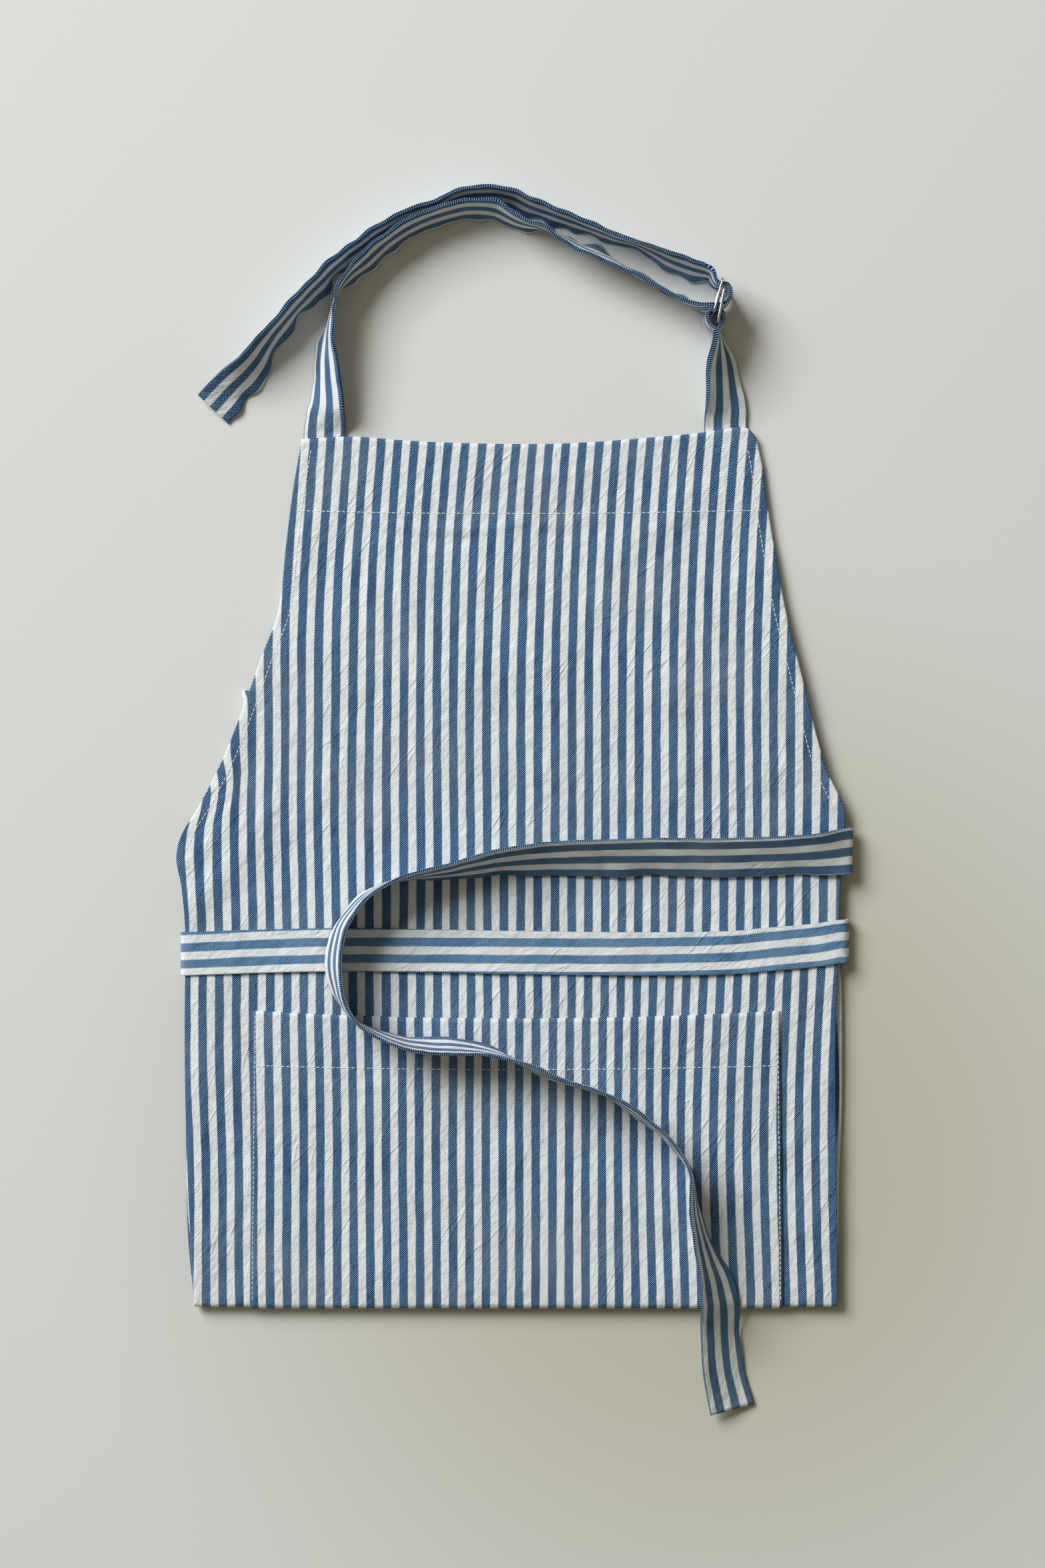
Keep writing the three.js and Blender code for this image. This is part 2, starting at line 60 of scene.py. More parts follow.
# Outline of the bundle, each pair (y, x) in millimetres, from the bottom fold upwards
FRONT_LEFT = [
    (-304, -192.8), (-260, -195.2), (-200, -197.6), (-140, -198.6), (-80, -198.2), (-52, -200.4),
    (-34, -203.6), (-20, -200.2), (-4, -190.4), (26, -175.2), (64, -160.4), (84, -153.4),
    (113, -142.8), (154, -138), (183, -134.4), (217, -128.8),
]
FRONT_RIGHT = [
    (-304, 192.4), (-240, 191.8), (-180, 191), (-140, 191), (-100, 192.4), (-50, 194),
    (-18, 196.4), (-7, 196.6), (1, 193.8), (9, 190), (20, 184.8), (81, 169.2),
    (112, 161.6), (144, 155.8), (180, 150), (200, 147.6), (217, 144),
]
SKIRT_LEFT = [
    (-304, -192.8), (-260, -197), (-200, -198.2), (-80, -197.8), (-40, -193), (0, -183.5),
    (28, -172), (44, -165.4), (57, -163.6), (67, -164.8),
]
SKIRT_RIGHT = [
    (-304, 192.4), (-235, 193), (-180, 195), (-100, 194.6), (-40, 192), (0, 186), (40, 174), (67, 168),
]
TOP_EDGE = [
    (-129, 216.5), (-98, 217.9), (-70, 215.9), (-40, 214.3), (11, 213.5), (45, 214.7),
    (77, 217.1), (111, 220.3), (130, 223.3), (139, 222.6), (144.4, 216),
]

# Bands, in millimetres. Each station is the middle of the band in plan, the height of its lowest
# point, and the direction across its width.
NECK_STRAP = [
    (-115.7, 168, 0, 1, 0, 0), (-115.2, 219.5, 0, 1, 0, 0), (-114.4, 228.6, 0, 0.97, -0.03, 0.25),
    (-113.4, 236.7, 0, 0.83, -0.06, 0.56), (-113.7, 265.7, 0, 0.52, -0.07, 0.85),
    (-112.3, 280.8, 0, 0.25, -0.12, 0.96), (-107.2, 302.3, 0, 0, -0.1, 0.99),
    (-100.3, 312.7, 0, -0.2, 0.02, 0.98), (-89.9, 321.1, 0, -0.28, 0.19, 0.94),
    (-74.4, 334.9, 0, -0.19, 0.23, 0.96), (-56.4, 345.2, 0, -0.14, 0.26, 0.95),
    (-29.6, 352.9, 0, -0.04, 0.31, 0.95), (-12.7, 351.8, 0, 0.04, 0.33, 0.94),
    (0.1, 345.5, 0, 0.15, 0.15, 0.98), (14.5, 341.9, 0, 0.04, -0.05, 1),
    (28.5, 335.5, 0, -0.06, -0.23, 0.97), (42.3, 328.4, 0, -0.12, -0.29, 0.95),
    (58.5, 321.4, 0, -0.08, -0.24, 0.97), (73.2, 312.2, 0, -0.03, -0.14, 0.99),
    (87.5, 305.8, 0.4, -0.04, -0.14, 0.99), (97.8, 298.6, 0.9, -0.04, -0.13, 0.99),
    (105.9, 295, 1.6, 0, 0, 1), (112.9, 294.5, 2.1, 0, 0, 1), (119.9, 294.5, 2.2, 0, 0, 1),
    (124.5, 295.8, 2.2, 0, 0, 1), (126.7, 298.8, 2.2, 0, 0, 1), (127.2, 302.2, 2.2, 0, 0, 1),
    (126.3, 305.6, 2.2, 0, 0, 1), (124.5, 306.9, 2.2, 0, 0, 1), (121.5, 306.8, 2.2, 0, 0, 1),
    (118.3, 308.6, 2.1, 0.05, 0.03, 1), (115.5, 313.9, 1.6, 0.15, 0.02, 0.99),
    (112.8, 315.1, 0.8, 0.1, 0.2, 0.97), (104.5, 317.4, 0.2, 0.06, 0.29, 0.95),
    (93.3, 321.4, 0, 0.08, 0.29, 0.95), (72.6, 331.8, 0, 0.02, 0, 1), (57.9, 336.4, 0, 0.06, 0.05, 1),
    (31.3, 346.4, 0, 0.13, 0.15, 0.98), (8.1, 354.6, 0, 0.15, 0.24, 0.96),
    (-5.4, 360.6, 0, 0.08, 0.25, 0.96), (-19.9, 362.1, 0, 0.01, 0.23, 0.97),
    (-34.2, 360, 0, -0.08, 0.23, 0.97), (-47.7, 353.2, 0, -0.15, 0.21, 0.97),
    (-67.5, 346.8, 0, -0.17, 0.19, 0.97), (-99, 326.1, 0, -0.22, 0.17, 0.96),
    (-119.2, 307.4, 0, -0.25, 0.18, 0.95), (-143.1, 280.8, 0, -0.27, 0.19, 0.94),
    (-158.4, 258.8, 0, -0.51, 0.46, 0.73), (-169.5, 247.7, 0, -0.62, 0.61, 0.5),
    (-182, 234.4, 0, -0.68, 0.71, 0.17),
]
RING_TAB = [
    (125.3, 168, 0, -1, 0, 0), (125.3, 222.5, 0, -1, 0, 0), (125.2, 228.3, 0, -1, 0.03, 0.09),
    (125.3, 234.2, 0, -0.96, 0.07, 0.26), (124, 246.2, 0.2, -0.83, 0.03, 0.56),
    (122.4, 261, 0.8, -0.66, 0.01, 0.75), (120.5, 273.3, 1.6, -0.25, -0.07, 0.97),
    (119.2, 280.7, 2.2, -0.05, -0.12, 0.99),
]
TAB_EYE = [
    (118.9, 279.9), (115.5, 282), (113.3, 285), (113.1, 288.4), (114.9, 291.2), (117.9, 292.1),
    (121.1, 291.1), (123.2, 288.3), (123, 284.8), (121.4, 282), (119.5, 280),
]
RINGS = (120, 300)                        # the middle of both rings in plan
TAB_SPREAD = 0.95                         # how far each layer of the tab lies from its middle
STRAP_LIFT = 2.2                          # the strap's height above the floor within the rings
CUT_GAP = 0.04                            # keeps the tab's layers apart on the flat cut
RING_DEPTH, RING_HALF = 20.5, 13.9        # to the middle of the wire
BAR_BEND, BOW_BEND = 1.8, 2.4             # the rings' corner radii
LEFT_TIE = [
    (-45, -97, 4.05, 0, 1, 0), (-120, -94, 4.05, 0, 1, 0), (-185, -92, 4.05, 0, 1, 0),
    (-197, -91.7, 4.05, 0, 1, 0), (-199.5, -91.7, 4.8, 0, 1, 0), (-200.2, -91.7, 6.1, 0, 1, 0),
    (-199.4, -91.7, 7.5, 0, 1, 0), (-197, -91.6, 8.1, 0, 1, 0), (-150, -90, 8.1, 0, 1, 0),
    (-110, -89.3, 8.1, 0, 1, 0), (-50, -90, 8.1, 0, 1, 0), (0, -90.8, 8.1, 0, 1, 0),
    (60, -91.6, 8.1, 0, 1, 0), (126, -91, 8.1, 0, 1, 0), (152, -88.8, 8.1, 0, 1, 0),
    (179, -86.5, 8.1, 0, 1, 0), (191, -84.6, 8.1, 0, 1, 0), (195.4, -84.2, 7.6, 0, 1, 0),
    (197.6, -84.1, 6.2, 0, 1, 0), (198.3, -84, 4.2, 0, 1, 0), (198, -83.9, 2, 0, 1, 0),
    (197, -83.8, 0.5, 0, 1, 0), (194, -83.5, 0, 0, 1, 0), (186, -82, 0, 0.1, 1, 0),
    (150, -76, 0, 0.17, 1, 0), (20, -54, 0, 0.17, 1, 0), (-70, -39, 0, 0.17, 1, 0),
    (-125, -30, 0, 0.17, 1, 0),
]
RIGHT_TIE = [
    (47.9, -92.8, 4.05, -0.4, 0.92, 0), (109.8, -63.9, 4.05, -0.4, 0.92, 0),
    (164.7, -37.9, 4.05, -0.35, 0.94, 0), (187.7, -30.4, 4.05, -0.15, 0.99, 0),
    (196.4, -29.5, 4.1, 0, 1, 0), (199.4, -29.8, 5, 0, 1, 0), (200.2, -30, 6.8, 0, 1, 0),
    (198.8, -30.1, 8.5, 0, 1, 0), (195, -30.5, 9.1, 0, 0.99, 0.12), (185.1, -31.4, 8.9, -0.01, 0.92, 0.4),
    (167.1, -32.5, 8.4, -0.02, 0.84, 0.54), (125.3, -33.8, 8.1, -0.02, 0.82, 0.57),
    (79.6, -33.8, 8.2, -0.01, 0.81, 0.59), (44.8, -34.1, 8.5, 0, 0.77, 0.64),
    (19.9, -34.7, 8.1, -0.02, 0.71, 0.7), (0, -35.8, 8.1, -0.05, 0.61, 0.79),
    (-18.8, -38.1, 8.1, -0.08, 0.48, 0.87), (-39.6, -41.9, 8.1, -0.09, 0.3, 0.95),
    (-60.4, -45.1, 8.1, -0.05, 0.13, 0.99), (-75.2, -49, 8.4, 0, 0, 1),
    (-86.9, -54.8, 9, 0.09, -0.05, 0.99), (-97.8, -64.9, 9.9, 0.2, -0.07, 0.98),
    (-104.3, -74.6, 10, 0.29, -0.01, 0.96), (-107.4, -85.9, 10, 0.35, 0.04, 0.94),
    (-108.5, -95.4, 10, 0.36, 0.05, 0.93), (-107.4, -106.5, 10, 0.31, 0.05, 0.95),
    (-104.2, -118.7, 9.7, 0.19, 0.08, 0.98), (-97.4, -129.5, 9.6, 0.05, 0.06, 1),
    (-84.3, -137.1, 9.6, -0.06, -0.05, 1), (-68.1, -143.1, 9.6, -0.03, -0.17, 0.99),
    (-53.4, -145.4, 9.6, 0.02, -0.25, 0.97), (-37.6, -146.2, 9.6, 0.02, -0.26, 0.97),
    (-21.4, -148.4, 9.6, 0.04, -0.13, 0.99), (-4.7, -152.8, 9.6, 0.03, 0, 1),
    (11.8, -159.8, 9.6, 0.04, 0.16, 0.99), (28.9, -166.3, 9.6, -0.01, 0.1, 0.99),
    (49.1, -172.5, 9.6, -0.02, 0.08, 1), (67.9, -184, 9.6, 0.05, 0.19, 0.98),
    (87, -198, 9.6, 0.01, 0.13, 0.99), (96.9, -210.2, 9.6, 0.02, 0.13, 0.99),
    (103, -220.9, 9.6, -0.05, 0.11, 0.99), (105, -231.3, 9.6, -0.14, 0.11, 0.98),
    (106.2, -242, 9.6, -0.24, 0.11, 0.96), (108.8, -254.9, 9.3, -0.34, 0.17, 0.92),
    (114.1, -273.6, 9.1, -0.55, 0.2, 0.81), (118.3, -287.1, 9.1, -0.72, 0.2, 0.66),
    (120.6, -299, 8.8, -0.78, 0.16, 0.6), (121.1, -304, 7.6, -0.79, 0.15, 0.59),
    (121.5, -308.3, 5.6, -0.8, 0.14, 0.58), (121.7, -313.7, 3.4, -0.81, 0.13, 0.57),
    (121.9, -320.4, 1.6, -0.83, 0.13, 0.54), (123.9, -340.6, 0, -0.89, 0.13, 0.42),
    (129.4, -364.8, 0, -0.95, -0.25, 0.2),
]

# Soft ridges and hollows pressed into the front panel: from (x, y) to (x, y), half width, height
CREASES = [
    ((-196, -62), (-140, 4), 7, 1.0), ((-186, -72), (-122, -14), 6, -0.7),
    ((-200, -40), (-168, 0), 5, 0.8), ((-150, -40), (-96, 34), 9, 0.6),
    ((186, -4), (150, 26), 6, 0.9), ((192, -14), (140, 4), 5, -0.6),
    ((176, 30), (120, 66), 8, 0.6), ((150, 60), (90, 120), 10, 0.5),
    ((60, 150), (140, 206), 8, 0.7), ((20, 176), (110, 214), 7, -0.5),
    ((-120, 190), (-60, 140), 9, 0.5), ((-30, 60), (60, 130), 14, 0.5),
    ((-110, 60), (-20, 10), 12, -0.5), ((20, 20), (130, -6), 10, 0.5),
    ((180, -120), (120, -170), 8, 0.5), ((188, -190), (130, -240), 8, 0.5),
    ((-190, -140), (-150, -210), 8, 0.5), ((-60, -180), (20, -250), 12, 0.4),
    ((60, -230), (150, -280), 9, 0.4), ((-140, -230), (-60, -290), 9, 0.4),
    # puckers along the bib hem
    ((-92, 169), (-40, 164), 2.2, 0.8), ((-44, 163), (4, 168), 2.4, 0.8), ((0, 167), (46, 172), 2.0, 0.7),
    ((-70, 161), (-20, 158), 3.0, -0.5), ((10, 160), (60, 166), 2.6, -0.4),
    ((-88, 162), (-92, 84), 3.2, -0.8), ((-96, 168), (-120, 100), 9, -0.9), ((-66, 156), (-60, 96), 4, 0.4),
    ((13, 195), (54, 203), 2.4, 0.9), ((40, 199), (41, 174), 2.0, 0.7), ((108, 221), (98, 188), 3, 0.9),
    ((118, 190), (98, 176), 2.4, 0.8), ((137, 218), (127, 190), 3, -0.8), ((66, 208), (60, 186), 2.4, 0.5),
    ((-112, 206), (-104, 186), 2.6, 0.5), ((-76, 152), (-64, 136), 2.2, 0.5),
    ((26, 158), (34, 140), 2.2, -0.5),
    # soft upright folds on the right of the bib and by the side folds
    ((98, 96), (104, -20), 9, 0.7), ((-150, 60), (-158, -10), 7, -0.5), ((-182, -110), (-188, -250), 7, 0.6),
    ((178, -60), (182, -180), 6, -0.6), ((20, 120), (16, 20), 12, 0.4),
    # short creases above the bottom fold and beside the pocket
    ((-186, -230), (-168, -196), 2.4, 0.6), ((-184, -262), (-160, -226), 2.6, 0.6),
    ((-176, -286), (-150, -252), 2.8, -0.6), ((-180, -170), (-164, -138), 2.4, 0.6),
    ((168, -262), (184, -236), 2.4, 0.6), ((166, -214), (182, -186), 2.4, -0.5),
    ((-150, -166), (-110, -170), 2.4, 0.5), ((-118, -170), (-70, -166), 2.4, 0.6),
]


def shade(red, green, blue):
    """A colour given as it looks, turned into the light values that the shaders use."""
    return tuple(((c / 255 + 0.055) / 1.055) ** 2.4 if c > 10 else c / 255 / 12.92
                 for c in (red, green, blue))


class ApronCloth(bpy.types.PropertyGroup):
    """The striped cotton."""

    stripe_repeat: bpy.props.FloatProperty(
        name="Stripe repeat", description="One blue stripe and one white stripe together",
        default=0.010, min=0.002, max=0.05, unit="LENGTH")
    yarn_repeat: bpy.props.FloatProperty(
        name="Yarn repeat", description="Distance over which the weave repeats",
        default=0.0013, min=0.0005, max=0.004, unit="LENGTH")
    white: bpy.props.FloatVectorProperty(
        name="White yarn", description="Colour of the undyed yarn", subtype="COLOR",
        default=shade(229, 232, 234), min=0, max=1)
    blue_dark: bpy.props.FloatVectorProperty(
        name="Dyed yarn", description="Colour of the dyed yarn where it lies on top", subtype="COLOR",
        default=shade(6, 31, 75), min=0, max=1)
    blue_light: bpy.props.FloatVectorProperty(
        name="Dyed yarn under white", description="Colour where the white yarn crosses the dyed yarn",
        subtype="COLOR", default=shade(136, 190, 232), min=0, max=1)
    thickness: bpy.props.FloatProperty(
        name="Cloth thickness", description="One layer of the cotton",
        default=0.0006, min=0.0002, max=0.002, unit="LENGTH")


class ApronBands(bpy.types.PropertyGroup):
    """The neck strap, tab and ties."""

    width: bpy.props.FloatProperty(
        name="Band width", description="Width of the strap, tab and ties",
        default=0.025, min=0.01, max=0.05, unit="LENGTH")
    strap_thickness: bpy.props.FloatProperty(
        name="Strap thickness", description="Neck strap and tab, two layers of folded cotton",
        default=0.0020, min=0.0008, max=0.004, unit="LENGTH")
    tie_thickness: bpy.props.FloatProperty(
        name="Tie thickness", description="Waist ties, pressed flatter than the strap",
        default=0.0016, min=0.0008, max=0.004, unit="LENGTH")
    wire: bpy.props.FloatProperty(
        name="Ring wire", description="Diameter of the ring wire",
        default=0.0016, min=0.001, max=0.004, unit="LENGTH")


class ApronStitching(bpy.types.PropertyGroup):
    """The white sewing thread."""

    length: bpy.props.FloatProperty(
        name="Stitch length", description="From one needle hole to the next",
        default=0.0030, min=0.001, max=0.006, unit="LENGTH")
    thickness: bpy.props.FloatProperty(
        name="Thread", description="Diameter of the sewing thread",
        default=0.00055, min=0.0002, max=0.001, unit="LENGTH")


class ApronStage(bpy.types.PropertyGroup):
    """Floor, light and camera."""

    camera_height: bpy.props.FloatProperty(
        name="Camera height", description="Height of the camera above the floor",
        default=2.2, min=0.5, max=6, unit="LENGTH")
    view_height: bpy.props.FloatProperty(
        name="View height", description="How much of the floor the tall side of the picture covers",
        default=0.9408, min=0.2, max=4, unit="LENGTH")
    key_power: bpy.props.FloatProperty(
        name="Window light", description="Power of the large soft light", default=590, min=0, max=2000)
    fill: bpy.props.FloatProperty(
        name="Room light", description="Brightness of the light that comes from all round",
        default=0.20, min=0, max=5)


# ---- Curves and fields -------------------------------------------------------------------------


def track(pairs):
    """A smooth curve through pairs of (at, value), read with an array of positions."""
    at = np.array([p[0] for p in pairs], float)
    value = np.array([p[1:] if len(p) > 2 else p[1] for p in pairs], float)
    if value.ndim == 1:
        value = value[:, None]
    before = np.maximum(np.arange(len(at)) - 1, 0)
    after = np.minimum(np.arange(len(at)) + 1, len(at) - 1)
    slope = (value[after] - value[before]) / (at[after] - at[before])[:, None]

    def read(t):
        t = np.clip(np.asarray(t, float), at[0], at[-1])
        i = np.clip(np.searchsorted(at, t, side="right") - 1, 0, len(at) - 2)
        span = (at[i + 1] - at[i])[..., None]
        u = (t - at[i])[..., None] / span
        out = (value[i] * (1 + 2 * u) * (1 - u) ** 2 + slope[i] * span * u * (1 - u) ** 2
               + value[i + 1] * u * u * (3 - 2 * u) + slope[i + 1] * span * u * u * (u - 1))
        return out[..., 0] if value.shape[1] == 1 else out

    return read


def ease(low, high, x):
    t = np.clip((np.asarray(x, float) - low) / (high - low), 0, 1)
    return t * t * (3 - 2 * t)


def waves(x, y, seed, length, count=9):
    """Gentle unevenness of height about 1, without any repeat that shows."""
    pick = np.random.default_rng(seed)
    total = np.zeros(np.broadcast(x, y).shape)
    for _ in range(count):
        turn, size, start = pick.uniform(0, math.pi), pick.uniform(0.6, 1.6), pick.uniform(0, 6.28)
        total = total + np.sin((x * math.cos(turn) + y * math.sin(turn)) * 6.28 / (length * size) + start)
    return total / math.sqrt(count)


LEFT_OF, RIGHT_OF = track(FRONT_LEFT), track(FRONT_RIGHT)
SKIRT_LEFT_OF, SKIRT_RIGHT_OF = track(SKIRT_LEFT), track(SKIRT_RIGHT)
TOP_OF = track(TOP_EDGE)

FOLD_HEIGHT, FOLD_RADIUS, FOLD_Y = 4.85, 2.65, -300.1
FRONT_Z, SKIRT_Z = FOLD_HEIGHT + FOLD_RADIUS, FOLD_HEIGHT - FOLD_RADIUS
BIB_TOP, BIB_REST_Z, SKIRT_HEM = 217, 3.75, 66
SIDE_OFFSET, SIDE_FOLD, HEM_FOLD = 1.2, 155, 8
POCKET_HALF, POCKET_TOP, POCKET_OFFSET, POCKET_FLAP = 157.5, -125.6, 0.9, 36


SMALL_CREASES = []


def rest_z(y):
    return FRONT_Z - (FRONT_Z - BIB_REST_Z) * ease(60, 185, y)


def small_creases():
    """Short creases scattered over the panel, most of them on the bias."""
    pick = np.random.default_rng(7)
    found = []
    for _ in range(150):
        x, y = pick.uniform(-185, 185), pick.uniform(-292, 208)
        lean = math.radians(pick.choice([48, 58, 125, 135, 20, 92]) + pick.uniform(-12, 12))
        reach = pick.uniform(14, 46)
        dx, dy = reach / 2 * math.cos(lean), reach / 2 * math.sin(lean)
        half = pick.uniform(2.6, 5.5)
        height = pick.choice([-1, 1]) * pick.uniform(0.11, 0.34)
        found.append(((x - dx, y - dy), (x + dx, y + dy), half, height))
    return found


def relief(x, y):
    """How far the front panel rises or sinks from flat, in millimetres."""
    x, y = np.asarray(x, float), np.asarray(y, float)
    total = 0.30 * waves(x, y, 3, 70) + 0.14 * waves(x, y, 5, 24)
    for (x0, y0), (x1, y1), half, height in CREASES + SMALL_CREASES:
        along = np.array([x1 - x0, y1 - y0], float)
        reach = np.hypot(*along)
        along /= reach
        t = ((x - x0) * along[0] + (y - y0) * along[1]) / reach
        bow = 4 * np.sin(np.clip(t, 0, 1) * math.pi)
        off = -(x - x0) * along[1] + (y - y0) * along[0] + bow
        fade = ease(-0.25, 0.2, t) * (1 - ease(0.7, 1.3, t))
        total = total + height * np.exp(-((off / half) ** 2)) * fade
    settle = ease(FOLD_Y - 2, FOLD_Y + 14, y) * (0.35 + 0.65 * (1 - ease(160, 215, y)))
    return (total + 0.25) * settle


SMALL_CREASES += small_creases()


# ---- Mesh building -----------------------------------------------------------------------------


def add_piece(name, points, faces, cut, material, rim=None):
    """A mesh in metres from points and faces in millimetres, with its flat cut as the UV map."""
    mesh = bpy.data.meshes.new(name)
    mesh.from_pydata((np.asarray(points, float) * MM).tolist(), [], [list(map(int, f)) for f in faces])
    layer = mesh.uv_layers.new(name="cut")
    corner = np.zeros(len(mesh.loops), int)
    mesh.loops.foreach_get("vertex_index", corner)
    layer.data.foreach_set("uv", (np.asarray(cut, float)[corner] * MM).ravel())
    mesh.polygons.foreach_set("use_smooth", np.ones(len(mesh.polygons), bool))
    if rim is not None:
        mesh.attributes.new("rim", "FLOAT", "POINT").data.foreach_set("value", np.asarray(rim, np.float32))
    mesh.materials.append(material)
    mesh.validate()
    piece = bpy.data.objects.new(name, mesh)
    bpy.context.scene.collection.objects.link(piece)
    return piece


def sheet_grid(grid, cut, thick):
    """Points, faces and cut of a closed cloth sheet of even thickness round a grid of points."""
    rows, cols = grid.shape[:2]
    down = np.gradient(grid, axis=0)
    across = np.gradient(grid, axis=1)
    normal = np.cross(down, across)
    normal /= np.linalg.norm(normal, axis=2, keepdims=True)
    upper, lower = grid + normal * thick / 2, grid - normal * thick / 2
    points = np.concatenate([upper.reshape(-1, 3), lower.reshape(-1, 3)])
    i, j = np.meshgrid(np.arange(rows - 1), np.arange(cols - 1), indexing="ij")
    a = (i * cols + j).ravel()
    under = rows * cols
    faces = np.concatenate([
        np.stack([a, a + cols, a + cols + 1, a + 1], 1),
        np.stack([a, a + 1, a + cols + 1, a + cols], 1) + under,
    ])
    ids = np.arange(rows * cols).reshape(rows, cols)
    rim = np.concatenate([ids[:-1, 0], ids[-1, :-1], ids[:0:-1, -1], ids[0, :0:-1]])
    ahead = np.roll(rim, -1)
    faces = np.concatenate([faces, np.stack([rim + under, ahead + under, ahead, rim], 1)])
    return points, faces, np.concatenate([cut.reshape(-1, 2)] * 2)


def band_frames(stations, step, lift):
    """Middle points and across directions every step along a band, and the lift as given."""
    station = np.array(stations, float)
    chord = np.linalg.norm(np.diff(station[:, :2], axis=0), axis=1) + np.abs(np.diff(station[:, 2]))
    at = np.concatenate([[0], np.cumsum(chord)])
    across = station[:, 3:] / np.linalg.norm(station[:, 3:], axis=1)[:, None]
    read = track([(a, *s[:3], *w) for a, s, w in zip(at, station, across)])
    values = read(np.linspace(0, at[-1], int(at[-1] / step) + 2))
    return values[:, :3], values[:, 3:], lift


def band(stations, width, thick, step=2.0, wobble=0.0, seed=1, rides_relief=True,
         phases=(0, 0, 0), aside=0.0):
    """A folded and stitched band: two soft layers with a groove between them at both edges.

    phases places the stripes on the face and on the back, and says how far they drift by the far end.
    """
    middle, across, _ = band_frames(stations, step, 0)
    count = len(middle)
    ahead = np.gradient(middle, axis=0)
    ahead /= np.linalg.norm(ahead, axis=1)[:, None]
    across = across - ahead * (across * ahead).sum(1)[:, None]
    across /= np.linalg.norm(across, axis=1)[:, None]
    outward = np.cross(across, ahead)
    middle = middle.copy()
    middle[:, 2] += width / 2 * np.abs(across[:, 2]) + thick / 2 * np.abs(outward[:, 2])
    if rides_relief:
        on_cloth = ease(7.6, 8.1, middle[:, 2] - width / 2 * np.abs(across[:, 2]))
        middle[:, 2] += on_cloth * np.maximum(relief(middle[:, 0], middle[:, 1]), -0.3)
    length = np.concatenate([[0], np.cumsum(np.linalg.norm(np.diff(middle, axis=0), axis=1))])

    edge = [(-0.75, 0.55), (-0.2, 0.5), (0, 0.3), (-0.12, 0.12), (-0.6, 0), (-0.12, -0.12), (0, -0.3),
            (-0.2, -0.5), (-0.75, -0.55)]
    half = width / 2
    face = np.linspace(half - 1.7, -half + 1.7, 11)
    sunk = [0.53] + [0.44] * 9 + [0.53]
    a = [half + e[0] for e in edge] + list(face) + [-half - e[0] for e in edge[::-1]] + list(-face)
    b = [e[1] for e in edge] + [-s for s in sunk] + [e[1] for e in edge[::-1]] + sunk
    around_edge = [0.2, 0.9, 1, 1, 2, 1, 1, 0.9, 0.2]
    rim = (around_edge + [0] * 11) * 2
    a, b = np.array(a), np.array(b) * thick

    by_edge = ease(half - 5, half - 2, np.abs(a))[None]
    pucker = 0.10 * waves(length, length * 0, seed + 20, 7.5, 5)[:, None] * by_edge
    # The edge nearest the floor hangs loosest
    lower = 0.3 + 0.7 * ease(0, 1, -a[None] * np.sign(across[:, 2:]) / half) * np.abs(across[:, 2:])
    sway = wobble * waves(length, length * 0, seed, 19, 6)[:, None] * (a / half)[None] ** 2 * lower
    # The rings hold the strap still
    from_rings = np.hypot(middle[:, 0] - RINGS[0], middle[:, 1] - RINGS[1])
    sway *= ease(8, 22, from_rings)[:, None]
    soft = 0.12 * waves(length[:, None] + 0 * a[None], a[None] + 0 * length[:, None], seed + 40, 16, 7)
    points = (middle[:, None] + across[:, None] * (a[None] + sway * 0.3 * np.sign(a)[None])[..., None]
              + outward[:, None] * (b[None] + pucker * np.sign(b)[None] + soft + sway)[..., None])
    if aside:
        points += (aside * ease(0, 60, length))[:, None, None] * outward[:, None]
    points[..., 2] = np.maximum(points[..., 2], 0.02)
    around = len(a)
    phase = np.where(b >= 0, phases[0], phases[1])[None] + phases[2] * (length / length[-1])[:, None]
    cut = np.stack(np.broadcast_arrays(a[None] - phase, length[:, None]), -1)
    i, j = np.meshgrid(np.arange(count - 1), np.arange(around), indexing="ij")
    c, d = (i * around + j).ravel(), (i * around + (j + 1) % around).ravel()
    faces = [list(f) for f in np.stack([c, d, d + around, c + around], 1)]
    faces.append(list(range(around))[::-1])
    faces.append(list(range((count - 1) * around, count * around)))
    return points.reshape(-1, 3), faces, cut.reshape(-1, 2), np.tile(rim, count)


# ---- Node materials ----------------------------------------------------------------------------


class Signal:
    """One node output, so that shader sums can be written as plain expressions."""

    def __init__(self, recipe, socket):
        self.recipe, self.socket = recipe, socket

    def _with(self, operation, *others):
        return self.recipe.math(operation, self, *others)

    def __add__(self, other):
        return self._with("ADD", other)

    __radd__ = __add__

    def __sub__(self, other):
        return self._with("SUBTRACT", other)

    def __rsub__(self, other):
        return self.recipe.math("SUBTRACT", other, self)

    def __mul__(self, other):
        return self._with("MULTIPLY", other)

    __rmul__ = __mul__

    def __truediv__(self, other):
        return self._with("DIVIDE", other)

    def __pow__(self, other):
        return self._with("POWER", other)


